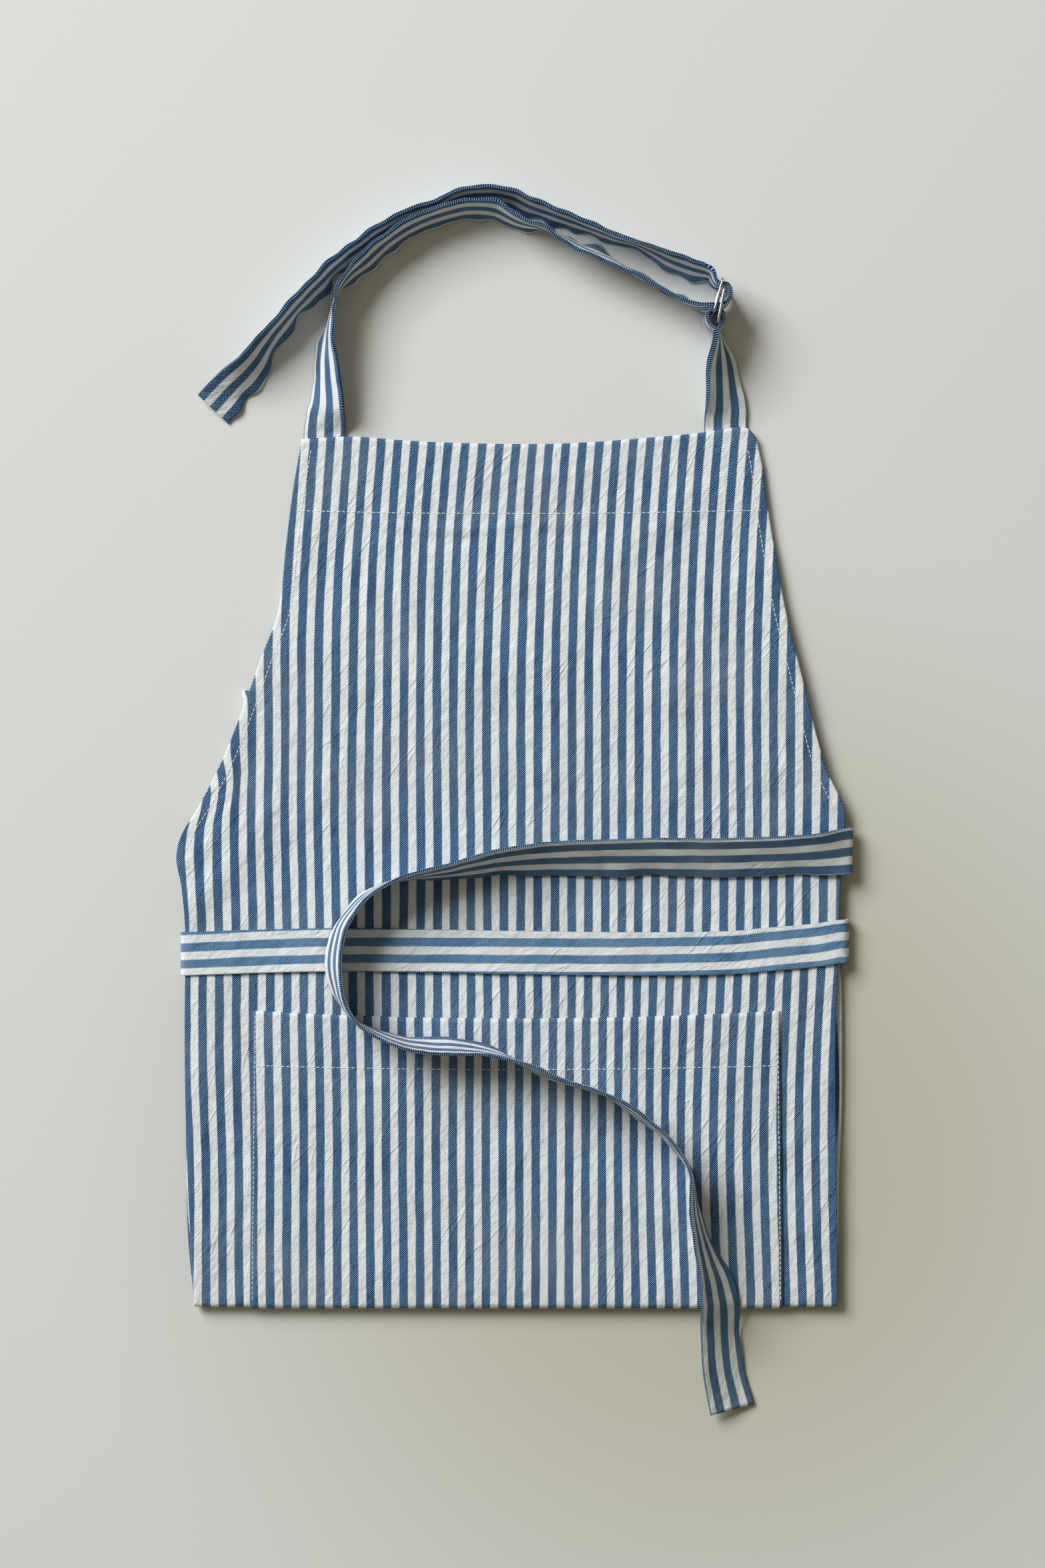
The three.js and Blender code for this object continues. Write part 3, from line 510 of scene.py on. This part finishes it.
class Recipe:
    """A node material under construction."""

    def __init__(self, name):
        self.material = bpy.data.materials.new(name)
        self.material.use_nodes = True
        self.tree = self.material.node_tree
        self.shader = self.tree.nodes["Principled BSDF"]

    def node(self, kind, settings=None, out=0, **inputs):
        made = self.tree.nodes.new("ShaderNode" + kind)
        for key, value in (settings or {}).items():
            setattr(made, key, value)
        for key, value in inputs.items():
            socket = made.inputs[int(key[1:])] if key[1:].isdigit() else made.inputs[key.replace("_", " ")]
            self.feed(socket, value)
        return Signal(self, made.outputs[out])

    def feed(self, socket, value):
        if isinstance(value, Signal):
            self.tree.links.new(value.socket, socket)
        elif hasattr(value, "__len__") and len(value) == 3 and socket.type == "RGBA":
            socket.default_value = (*value, 1)
        else:
            socket.default_value = value

    def math(self, operation, *values):
        return self.node("Math", {"operation": operation}, **{f"i{n}": v for n, v in enumerate(values)})

    def between(self, value, low, high, to_low=0.0, to_high=1.0):
        return self.node("MapRange", {"interpolation_type": "SMOOTHSTEP"}, Value=value, From_Min=low,
                         From_Max=high, To_Min=to_low, To_Max=to_high)

    def blend(self, share, first, second):
        made = self.tree.nodes.new("ShaderNodeMix")
        made.data_type = "RGBA"
        self.feed(made.inputs[0], share)
        self.feed(made.inputs[6], first)
        self.feed(made.inputs[7], second)
        return Signal(self, made.outputs[2])

    def place(self, u, v, w=0.0):
        return self.node("CombineXYZ", X=u, Y=v, Z=w)

    def noise(self, where, scale, detail=2.0, roughness=0.5):
        return self.node("TexNoise", {"noise_dimensions": "3D"}, Vector=where, Scale=scale, Detail=detail,
                         Roughness=roughness)

    def surface(self, **sockets):
        for key, value in sockets.items():
            self.feed(self.shader.inputs[key.replace("_", " ")], value)
        return self.material


def striped_cotton(name, seed=0.0, edged=False, fade=0.0, blue_edge=0.0):
    """Plain-weave cotton with even blue and white stripes, read from the flat cut in millimetres."""
    cloth = bpy.context.scene.apron_cloth
    r = Recipe(name)
    cut = r.node("UVMap", {"uv_map": "cut"})
    split = r.tree.nodes.new("ShaderNodeSeparateXYZ")
    r.tree.links.new(cut.socket, split.inputs[0])
    u = Signal(r, split.outputs[0]) * 1000
    v = Signal(r, split.outputs[1]) * 1000

    # Blue and white yarns crossing over and under
    drift = r.noise(r.place(u * 0.25, v * 0.045, seed), 1.0, 3.0)
    slack = r.noise(r.place(u * 0.3, v * 0.3, seed + 3), 1.0, 2.0)
    grit = r.noise(r.place(u, v, seed), 1.6, 3.0, 0.7)
    yarn = 2 * math.pi / (cloth.yarn_repeat / MM)
    warp = r.math("SINE", (u + (slack - 0.5) * 1.2) * yarn)
    weft = r.math("SINE", (v + (drift - 0.5) * 1.8) * yarn)
    crossing = warp * weft
    if edged:
        rim = r.node("Attribute", {"attribute_name": "rim"}, out=2)
        turned = r.between(rim, 0.4, 0.8)
        # groove marks the gap between the band's layers at each edge, which gets painted shade below.
        groove = r.between(rim, 1.25, 1.8)
        crossing = crossing + (weft - crossing) * turned

    # Blue stripes, their edges stepping in and out from one yarn to the next
    stripe_at = (u + (drift - 0.5) * 1.0 + weft * 0.24) / (cloth.stripe_repeat / MM)
    blue = r.between(r.math("PINGPONG", stripe_at, 0.5), 0.25, 0.275, 1.0, 0.0)
    if edged and blue_edge:
        blue = r.math("MAXIMUM", blue, turned * blue_edge)
    over = r.between(crossing + (grit - 0.5) * 0.8, 0.17, 0.46)
    slub = r.noise(r.place(u * 1.6, v * 0.08, seed + 11), 1.0, 2.0)
    wear = r.noise(r.place(u * 0.05, v * 0.04, seed + 13), 1.0, 3.0)
    # fade draws the dark dyed yarn part way towards the light blue, so the whole band comes out a lighter
    # blue.
    dark = [c + (w - c) * fade for c, w in zip(cloth.blue_dark, cloth.blue_light)]
    dyed = r.blend(over, dark, cloth.blue_light)
    dyed = r.blend(r.between(slub, 0.5, 0.75, 0.0, 0.25), dyed, shade(64, 120, 180))
    dyed = r.blend(r.between(wear, 0.45, 0.75, 0.0, 0.4), dyed, shade(10, 38, 84))
    # Painted shade: the white yarn is drawn grey where the weave dips between crossings, broken up at random
    # by the grit noise.
    weave_hollow_shade = r.between(crossing + (grit - 0.5) * 1.6, -1.1, 0.6, 0.2, 0.0)
    undyed = r.blend(weave_hollow_shade, cloth.white, shade(176, 178, 178))
    age = r.noise(r.place(u * 0.018, v * 0.018, seed + 5), 1.0, 4.0)
    colour = r.blend(blue, undyed, dyed)
    colour = r.blend(r.between(age, 0.4, 0.72, 0.0, 0.08), colour, shade(200, 190, 168))

    # Fine creases left by washing: straight lines that run on the bias, and a soft all-over crumple
    def crease_lines(degrees, along_scale, across_scale, offset):
        c, d = math.cos(math.radians(degrees)), math.sin(math.radians(degrees))
        across, along = (u * d - v * c) * across_scale, (u * c + v * d) * along_scale
        lines = r.noise(r.place(across, along, seed + offset), 1.0, 1.5)
        return r.between(r.math("ABSOLUTE", lines - 0.5), 0.0, 0.03, 1.0, 0.0)

    where = r.noise(r.place(u * 0.024, v * 0.02, seed + 23), 1.0, 2.0)
    creased = crease_lines(58, 0.014, 0.085, 17) * r.between(where, 0.5, 0.6)
    creased_more = crease_lines(118, 0.014, 0.075, 19) * r.between(where, 0.36, 0.46, 1.0, 0.0)
    crumple = r.place((u * 0.87 - v * 0.5) * 0.22, (u * 0.5 + v * 0.87) * 0.12, seed + 2)
    crinkle = r.noise(crumple, 1.0, 3.0, 0.55)

    height = crossing * 0.045 + grit * 0.15 + crinkle * 1.2 + creased * 0.25 - creased_more * 0.25
    rough = r.between(grit, 0.2, 0.8, 0.82, 0.96)
    if edged:
        # Painted shade: the groove between the two layers at each band edge is painted dark navy, whatever
        # stripe lies there.
        colour = r.blend(groove * 0.75, colour, shade(24, 40, 72))
        height = height + weft * turned * 0.35 - groove * 0.5
    bump = r.node("Bump", {}, Strength=1.0, Distance=0.0009, Height=height)
    return r.surface(Base_Color=colour, Roughness=rough, Normal=bump,
                     Sheen_Weight=0.12, Sheen_Roughness=0.5, Specular_IOR_Level=0.15)


def sewing_thread(name):
    r = Recipe(name)
    coords = r.node("TexCoord", {}, out=3)
    grain = r.noise(coords, 2600.0, 3.0)
    colour = r.blend(r.between(grain, 0.3, 0.7), shade(214, 212, 204), shade(246, 246, 243))
    bump = r.node("Bump", {}, Strength=0.5, Distance=0.00008, Height=grain)
    return r.surface(Base_Color=colour, Roughness=r.between(grain, 0.3, 0.7, 0.6, 0.8), Normal=bump)


def plated_wire(name):
    r = Recipe(name)
    coords = r.node("TexCoord", {}, out=3)
    haze = r.noise(coords, 420.0, 4.0)
    fine = r.noise(coords, 2200.0, 2.0)
    colour = r.blend(r.between(haze, 0.35, 0.7), shade(214, 214, 218), shade(168, 168, 172))
    bump = r.node("Bump", {}, Strength=0.2, Distance=0.00006, Height=fine)
    rough = r.between(haze, 0.3, 0.7, 0.14, 0.32)
    return r.surface(Base_Color=colour, Metallic=1.0, Roughness=rough, Normal=bump)


# ---- Apron pieces ------------------------------------------------------------------------------


def stripe_shift(x, y):
    """How far the stripes are pulled sideways on the front, in millimetres."""
    lean = 6.0 * np.where(y > 60, ((y - 60) / 144) ** 2, 0)
    low = ease(20, 130, x) * np.where(y < -80, np.sin(np.clip((-80 - y) / 215, 0, 1) * math.pi), 0)
    ripple = 0.35 * waves(x, y, 11, 120, 5)
    # by the left side fold the stripes follow the edge of the cloth
    beside = (1 - ease(2, 24, x - LEFT_OF(y))) * ease(-86, -60, y) * (1 - ease(-10, 30, y))
    return lean - 3.2 * low + ripple + beside * (LEFT_OF(y) + 199) * 0.4


def cut_u(x, y):
    x, y = np.asarray(x, float), np.asarray(y, float)
    pitch = 10.0 + 0.09 * ease(-160, 0, y) - 0.09 * (1 - ease(-260, -120, y))
    return (x - stripe_shift(x, y) - 2.8) * 10.0 / pitch


def apron_body():
    cloth = bpy.context.scene.apron_cloth
    thick = cloth.thickness / MM
    turn, edge = SIDE_OFFSET / 2, thick / 2
    rows = []
    front = np.linspace(BIB_TOP, FOLD_Y, 196)
    for y in front:
        rows.append((y, float(rest_z(y)), 0, 1, float(LEFT_OF(y)), float(RIGHT_OF(y)), 1))
    for k in range(1, 12):
        angle = math.pi * k / 12
        rows.append((FOLD_Y - FOLD_RADIUS * math.sin(angle), FOLD_HEIGHT + FOLD_RADIUS * math.cos(angle),
                     -math.sin(angle), math.cos(angle), float(LEFT_OF(FOLD_Y)), float(RIGHT_OF(FOLD_Y)), 0))
    for y in np.linspace(FOLD_Y, SKIRT_HEM, 62):
        rows.append((y, SKIRT_Z, 0, -1, float(SKIRT_LEFT_OF(y)), float(SKIRT_RIGHT_OF(y)), 0))
    rows = np.array(rows)
    y, z, out_y, out_z, left, right, upper = (rows[:, k][:, None] for k in range(7))
    left, right = left + edge, right - edge

    def under_width(waist):
        wide = SIDE_FOLD + (HEM_FOLD - SIDE_FOLD) * ease(waist - 80, waist, y)
        return np.where(upper > 0, wide, SIDE_FOLD)

    shares = np.linspace(1, 0.06, 10)
    turns = np.linspace(0, math.pi, 7)
    cols_x, cols_in = [], []
    for share in shares:
        cols_x.append(left + turn + under_width(-22) * share)
        cols_in.append(SIDE_OFFSET + 0 * y)
    for angle in turns:
        cols_x.append(left + turn - turn * math.sin(angle) + 0 * y)
        cols_in.append(turn + turn * math.cos(angle) + 0 * y)
    for k in range(1, 146):
        cols_x.append(left + turn + (right - left - 2 * turn) * k / 146)
        cols_in.append(0 * y)
    for angle in turns[::-1]:
        cols_x.append(right - turn + turn * math.sin(angle) + 0 * y)
        cols_in.append(turn + turn * math.cos(angle) + 0 * y)
    for share in shares[::-1]:
        cols_x.append(right - turn - under_width(-4) * share)
        cols_in.append(SIDE_OFFSET + 0 * y)
    x, inward = np.concatenate(cols_x, 1), np.concatenate(cols_in, 1)
    sag = (TOP_OF(x) - BIB_TOP) * ease(170, BIB_TOP, y) * upper
    py = y + sag - out_y * inward
    pz = z - out_z * inward
    pz = pz + relief(x, py) * np.clip(out_z, 0, 1) * np.where(np.abs(inward) < SIDE_OFFSET, 1, 0.8)
    grid = np.stack([x + 0 * y, py, pz], -1)
    path = np.concatenate([[0], np.cumsum(np.hypot(np.diff(rows[:, 0]), np.diff(rows[:, 1])))])[:, None]
    ply = np.where(inward > 0.01, 1, 0)
    flip = ply * (inward > turn)
    mirror_left = 2 * left - x
    mirror_right = 2 * right - x
    folded = np.where(flip > 0, np.where(x < 0, mirror_left, mirror_right), x)
    cut_x = cut_u(np.where(flip > 0, np.where(x < 0, left, right) + 0 * x, x), py) + (folded - np.where(
        flip > 0, np.where(x < 0, left, right) + 0 * x, x))
    cut = np.stack([cut_x, -path + 0 * x], -1)
    points, faces, cut = sheet_grid(grid, cut, thick)
    piece = add_piece("apron_cloth_panel", points, faces, cut, striped_cotton("body_cotton"))
    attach(piece, BUNDLE)
    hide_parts("apron_cloth")
    return piece


def pocket_panel():
    cloth = bpy.context.scene.apron_cloth
    thick = cloth.thickness / MM
    reach = FOLD_RADIUS + POCKET_OFFSET
    rows = [(y, FRONT_Z + POCKET_OFFSET, 1 - (POCKET_TOP - y) / (POCKET_TOP - FOLD_Y), 1)
            for y in np.linspace(POCKET_TOP, FOLD_Y, 62)]
    for k in range(1, 14):
        angle = math.pi * k / 14
        rows.append((FOLD_Y - reach * math.sin(angle), FOLD_HEIGHT + reach * math.cos(angle),
                     0, max(math.cos(angle), 0)))
    rows += [(y, SKIRT_Z - POCKET_OFFSET, 0, 0) for y in np.linspace(FOLD_Y, FOLD_Y + POCKET_FLAP, 10)]
    y, z, sag, upper = (np.array(rows)[:, k][:, None] for k in range(4))
    share = np.linspace(-1, 1, 100)[None]
    x = share * (POCKET_HALF + (1 - sag) * 2)
    py = y - 4.6 * (1 - share ** 2) * sag
    mouth = np.exp(-(((POCKET_TOP - y) / 14) ** 2)) * (1 - share ** 4)
    pz = z + relief(x, py) * upper + 0.5 * mouth * upper * (sag > 0)
    grid = np.stack([x + 0 * y, py, pz], -1)
    path = np.concatenate([[0], np.cumsum(np.hypot(np.diff(y[:, 0]), np.diff(z[:, 0])))])[:, None]
    cut = np.stack([cut_u(x, py) + 1.1, -path + 0 * x + 4.6 * (1 - share ** 2)], -1)
    points, faces, cut = sheet_grid(grid, cut, thick)
    piece = add_piece("pocket_panel", points, faces, cut, striped_cotton("pocket_cotton", 31.0))
    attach(piece, BUNDLE)
    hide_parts("pocket")
    return piece


def band_piece(name, node, stations, thick, phases, seed, wobble, step=2.0,
               rides_relief=True, fade=0.0, blue_edge=0.0, broader=0.0, turns_with_rings=False):
    bands = bpy.context.scene.apron_bands
    points, faces, cut, rim = band(stations, (bands.width + broader) / MM, thick / MM, step, wobble,
                                   seed, rides_relief, phases)
    cotton = striped_cotton(name + "_cotton", float(seed), True, fade, blue_edge)
    piece = add_piece(name, points, faces, cut, cotton, rim=rim)
    if turns_with_rings:
        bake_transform(piece)
    else:
        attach(piece, BUNDLE)
    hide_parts(node)
    return piece


def neck_strap():
    bands = bpy.context.scene.apron_bands
    return band_piece("neck_strap_band", "neck_strap", NECK_STRAP, bands.strap_thickness,
                      (2.8, 2.8, -2.8), 51, 1.9, 1.6, False,
                      blue_edge=1.0, turns_with_rings=True)


def ring_tab():
    bands = bpy.context.scene.apron_bands
    width, thick = bands.width / MM, bands.strap_thickness / MM
    layers = [band(RING_TAB, width, thick * 0.9, 1.6, 0.7, 61, False, (4.6, 4.6, 0), side)
              for side in (-TAB_SPREAD, TAB_SPREAD)]
    eye = [(x, y, STRAP_LIFT, 0, 0, 1) for x, y in TAB_EYE]
    layers.append(band(eye, width, thick * 0.9, 0.9, 0.0, 62, False, (4.6, 4.6, 0)))
    points, faces, cut, rim, first = [], [], [], [], 0
    for layer_points, layer_faces, layer_cut, layer_rim in layers:
        points.append(layer_points)
        faces += [[i + first for i in face] for face in layer_faces]
        cut.append(layer_cut + np.array([0, first * CUT_GAP]))
        rim.append(layer_rim)
        first += len(layer_points)
    piece = add_piece("ring_tab_band", np.concatenate(points), faces, np.concatenate(cut),
                      striped_cotton("ring_tab_cotton", 61.0, True, 0.0, 0.8), rim=np.concatenate(rim))
    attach(piece, BUNDLE)
    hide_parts("ring_tab")
    return piece


def wire_ring(name, node, body, bar, degrees):
    bands = bpy.context.scene.apron_bands
    wire = bands.wire / MM
    half = RING_HALF
    corners = ((0, -half, BAR_BEND, 270), (0, half, BAR_BEND, 180),
               (RING_DEPTH, half, BOW_BEND, 90), (RING_DEPTH, -half, BOW_BEND, 0))
    route = []
    for x, z, radius, start in corners:
        in_x = x + radius if x == 0 else x - radius
        in_z = z - radius if z > 0 else z + radius
        for k in range(9):
            angle = math.radians(start - 90 * k / 8)
            route.append((in_x + radius * math.cos(angle), in_z + radius * math.sin(angle), angle))
    sides = 20
    points, faces = [], []
    turn = math.radians(degrees)
    for i, (x, z, angle) in enumerate(route):
        for k in range(sides):
            round_ = 2 * math.pi * k / sides
            out = wire / 2 * math.cos(round_)
            px, py = x + out * math.cos(angle), wire / 2 * math.sin(round_)
            points.append((bar[0] + px * math.cos(turn) - py * math.sin(turn),
                           bar[1] + px * math.sin(turn) + py * math.cos(turn),
                           z + out * math.sin(angle) + half + wire / 2))
            a, b = i * sides + k, i * sides + (k + 1) % sides
            step = ((i + 1) % len(route)) * sides
            faces.append((a, step + k, step + (k + 1) % sides, b))
    cut = np.zeros((len(points), 2))
    piece = add_piece(name, points, faces, cut, plated_wire(name + "_metal"))
    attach(piece, body)
    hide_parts(node)
    return piece


class ApronBody(bpy.types.Operator):
    """Lay the folded panel with its sides and skirt turned under"""

    bl_idname = "apron.body"
    bl_label = "Folded panel"

    def execute(self, context):
        apron_body()
        return {"FINISHED"}


class ApronPocket(bpy.types.Operator):
    """Lay the waist pocket on the panel"""

    bl_idname = "apron.pocket"
    bl_label = "Pocket"

    def execute(self, context):
        pocket_panel()
        return {"FINISHED"}


class ApronStraps(bpy.types.Operator):
    """Lay the neck strap, the ring tab and both ties"""

    bl_idname = "apron.straps"
    bl_label = "Strap, tab and ties"

    def execute(self, context):
        bands = context.scene.apron_bands
        neck_strap()
        ring_tab()
        band_piece("left_tie_band", "left_tie", LEFT_TIE, bands.tie_thickness, (0, -8, 10), 71, 0.12,
                   fade=0.22, broader=0.001)
        band_piece("right_tie_band", "right_tie", RIGHT_TIE, bands.tie_thickness * 1.25,
                   (0, -5, -2.4), 81, 1.1,
                   blue_edge=0.9, broader=0.0025)
        return {"FINISHED"}


class ApronRings(bpy.types.Operator):
    """Bend the two wire rings that the neck strap runs through"""

    bl_idname = "apron.rings"
    bl_label = "Wire rings"

    def execute(self, context):
        wire_ring("outer_wire_ring", "ring_1", "outer_ring", (117.1, 289.8), 75)
        wire_ring("inner_wire_ring", "ring_2", "inner_ring", (119.4, 284.1), 79)
        return {"FINISHED"}


def stitch_shape():
    """One thread stitch a millimetre long and wide, as points and faces."""
    bpy.ops.object.select_all(action="DESELECT")
    bpy.ops.mesh.primitive_uv_sphere_add(segments=6, ring_count=5, radius=0.5, rotation=(0, math.pi / 2, 0))
    ball = bpy.context.object
    points = np.array([ball.matrix_world @ v.co for v in ball.data.vertices])
    faces = [list(p.vertices) for p in ball.data.polygons]
    points[:, 0] = np.sign(points[:, 0]) * np.abs(points[:, 0]) ** 0.6 * 0.5 ** 0.4
    bpy.data.objects.remove(ball, do_unlink=True)
    return points, faces


def stitch_row(name, node, spots, material):
    """Stitches along a line of spots, each spot (x, y, z) in millimetres and a unit normal."""
    sewing = bpy.context.scene.apron_stitching
    shape, shape_faces = stitch_shape()
    at = np.array([s[:3] for s in spots], float)
    normal = np.array([s[3:] for s in spots], float)
    reach = np.concatenate([[0], np.cumsum(np.linalg.norm(np.diff(at, axis=0), axis=1))])
    pitch = sewing.length / MM
    middles = np.arange(pitch / 2, reach[-1], pitch)
    read = track([(r, *p, *n) for r, p, n in zip(reach, at, normal)])
    before, here, after = read(middles - 0.5), read(middles), read(middles + 0.5)
    points, faces = [], []
    pick = np.random.default_rng(17)
    for k in range(len(middles)):
        along = after[k, :3] - before[k, :3]
        along /= np.linalg.norm(along)
        up = here[k, 3:] / np.linalg.norm(here[k, 3:])
        side = np.cross(up, along)
        skew = pick.uniform(-0.07, 0.07)
        along = along + side * skew
        size = (pitch * pick.uniform(0.72, 0.8), sewing.thickness / MM, sewing.thickness / MM * 0.8)
        base = here[k, :3] + up * size[2] * 0.15
        body = (base + shape[:, :1] * size[0] * along + shape[:, 1:2] * size[1] * side
                + shape[:, 2:] * size[2] * up)
        faces += [[i + len(points) * len(shape) for i in f] for f in shape_faces]
        points.append(body)
    points = np.concatenate(points)
    piece = add_piece(name, points, faces, np.zeros((len(points), 2)), material)
    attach(piece, BUNDLE)
    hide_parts(node)
    return piece


class ApronSeams(bpy.types.Operator):
    """Sew the hems and the pocket"""

    bl_idname = "apron.seams"
    bl_label = "Stitching"

    def execute(self, context):
        thread = sewing_thread("white_sewing_thread")
        thick = context.scene.apron_cloth.thickness / MM

        def on_panel(x, y):
            return (x, y, float(rest_z(y) + relief(x, y)) + thick / 2, 0, 0, 1)

        def on_pocket(x, y):
            return (x, y, float(FRONT_Z + POCKET_OFFSET + relief(x, y)) + thick / 2, 0, 0, 1)

        stitch_row("bib_hem_thread", "bib_hem_stitching",
                   [on_panel(x, 174 - 2.2 * (1 - (x / 150) ** 2))
                    for x in np.linspace(-132, 146, 60)], thread)
        stitch_row("left_armhole_thread", "left_armhole_stitching",
                   [on_panel(float(LEFT_OF(y)) + 7, y) for y in np.linspace(210, -24, 60)], thread)
        stitch_row("right_armhole_thread", "right_armhole_stitching",
                   [on_panel(float(RIGHT_OF(y)) - 7, y) for y in np.linspace(210, -14, 60)], thread)
        stitch_row("pocket_hem_thread", "pocket_hem_stitching",
                   [on_pocket(x, -158.4 - 2.4 * (1 - (x / 157) ** 2))
                    for x in np.linspace(-156, 156, 60)], thread)
        for side, word in ((-1, "left"), (1, "right")):
            stitch_row(f"pocket_{word}_thread", f"pocket_{word}_stitching",
                       [on_pocket(side * (156.2 + 1.8 * (-128 - y) / 172), y)
                        for y in np.linspace(-128, -298, 50)], thread)
        stitch_row("skirt_hem_thread", "skirt_hem_stitching",
                   [(x, 48, SKIRT_Z - thick / 2, 0, 0, -1) for x in np.linspace(-160, 162, 30)], thread)
        return {"FINISHED"}


class ApronSetStage(bpy.types.Operator):
    """Set the floor, the light and the camera"""

    bl_idname = "apron.stage"
    bl_label = "Floor, light and camera"

    def execute(self, context):
        stage = context.scene.apron_stage
        bpy.ops.object.select_all(action="DESELECT")
        bpy.ops.mesh.primitive_plane_add(size=8, location=(0, 0, -0.0002))
        floor = context.object
        floor.name = "floor"
        bpy.ops.object.transform_apply(location=True, rotation=True, scale=True)
        r = Recipe("pale_floor_painted_shadow")
        coords = r.node("TexCoord", {}, out=3)
        # Painted shadow: the floor's colour darkens to a warm patch round a point under and right of the
        # apron, fading to the pale floor further out.
        painted_shadow_centre = r.node("VectorMath", {"operation": "SUBTRACT"}, i0=coords, i1=(0.10, -0.20, 0.0))
        from_painted_shadow = r.node("VectorMath", {"operation": "LENGTH"}, out=1, i0=painted_shadow_centre)
        colour = r.blend(r.between(from_painted_shadow, 0.08, 0.40), shade(195, 191, 174), shade(218, 218, 215))
        grain = r.noise(coords, 900.0, 3.0)
        bump = r.node("Bump", {}, Strength=0.15, Distance=0.0001, Height=grain)
        floor.data.materials.append(r.surface(Base_Color=colour, Roughness=0.75, Normal=bump))

        world = bpy.data.worlds.new("room")
        context.scene.world = world
        world.use_nodes = True
        sky = world.node_tree.nodes["Background"]
        sky.inputs[0].default_value = (*shade(252, 243, 212), 1)
        sky.inputs[1].default_value = stage.fill

        light = bpy.data.lights.new("window", "AREA")
        light.energy = stage.key_power
        light.shape = "RECTANGLE"
        light.size, light.size_y = 3.8, 3.4
        light.color = shade(248, 252, 255)
        lamp = bpy.data.objects.new("window", light)
        context.scene.collection.objects.link(lamp)
        lamp.location = (-3.9, 3.7, 3.95)
        aim = -np.array(lamp.location)
        tilt = math.atan2(math.hypot(aim[0], aim[1]), -aim[2])
        lamp.rotation_euler = (tilt, 0, math.atan2(aim[1], aim[0]) - math.pi / 2)

        camera = bpy.data.cameras.new("camera")
        camera.sensor_fit = "VERTICAL"
        camera.sensor_height = 36
        camera.lens = 36 * stage.camera_height / stage.view_height
        camera.clip_end = 20
        eye = bpy.data.objects.new("camera", camera)
        context.scene.collection.objects.link(eye)
        eye.location = (0.0036, 0.0099, stage.camera_height)
        context.scene.camera = eye
        context.scene.view_settings.view_transform = "Standard"
        return {"FINISHED"}


class ApronPanel(bpy.types.Panel):
    """Lists the steps of the apron"""

    bl_idname = "VIEW3D_PT_apron"
    bl_label = "Folded striped apron"
    bl_space_type = "VIEW_3D"
    bl_region_type = "UI"
    bl_category = "Apron"

    def draw(self, context):
        for group in (context.scene.apron_cloth, context.scene.apron_bands, context.scene.apron_stitching,
                      context.scene.apron_stage):
            box = self.layout.box()
            for key in group.__annotations__:
                box.prop(group, key)
        for step in STEPS:
            self.layout.operator(step.bl_idname)


GROUPS = {
    "apron_cloth": ApronCloth,
    "apron_bands": ApronBands,
    "apron_stitching": ApronStitching,
    "apron_stage": ApronStage,
}
STEPS = (ApronSetStage, ApronBody, ApronPocket, ApronStraps, ApronRings, ApronSeams)


def register():
    for known in (*GROUPS.values(), *STEPS, ApronPanel):
        bpy.utils.register_class(known)
    for name, group in GROUPS.items():
        setattr(bpy.types.Scene, name, bpy.props.PointerProperty(type=group))


def unregister():
    for name in GROUPS:
        delattr(bpy.types.Scene, name)
    for known in reversed((*GROUPS.values(), *STEPS, ApronPanel)):
        bpy.utils.unregister_class(known)


def main():
    register()
    bpy.ops.apron.stage()
    bpy.ops.apron.body()
    bpy.ops.apron.pocket()
    bpy.ops.apron.straps()
    bpy.ops.apron.rings()
    bpy.ops.apron.seams()


if __name__ == "__main__":
    main()
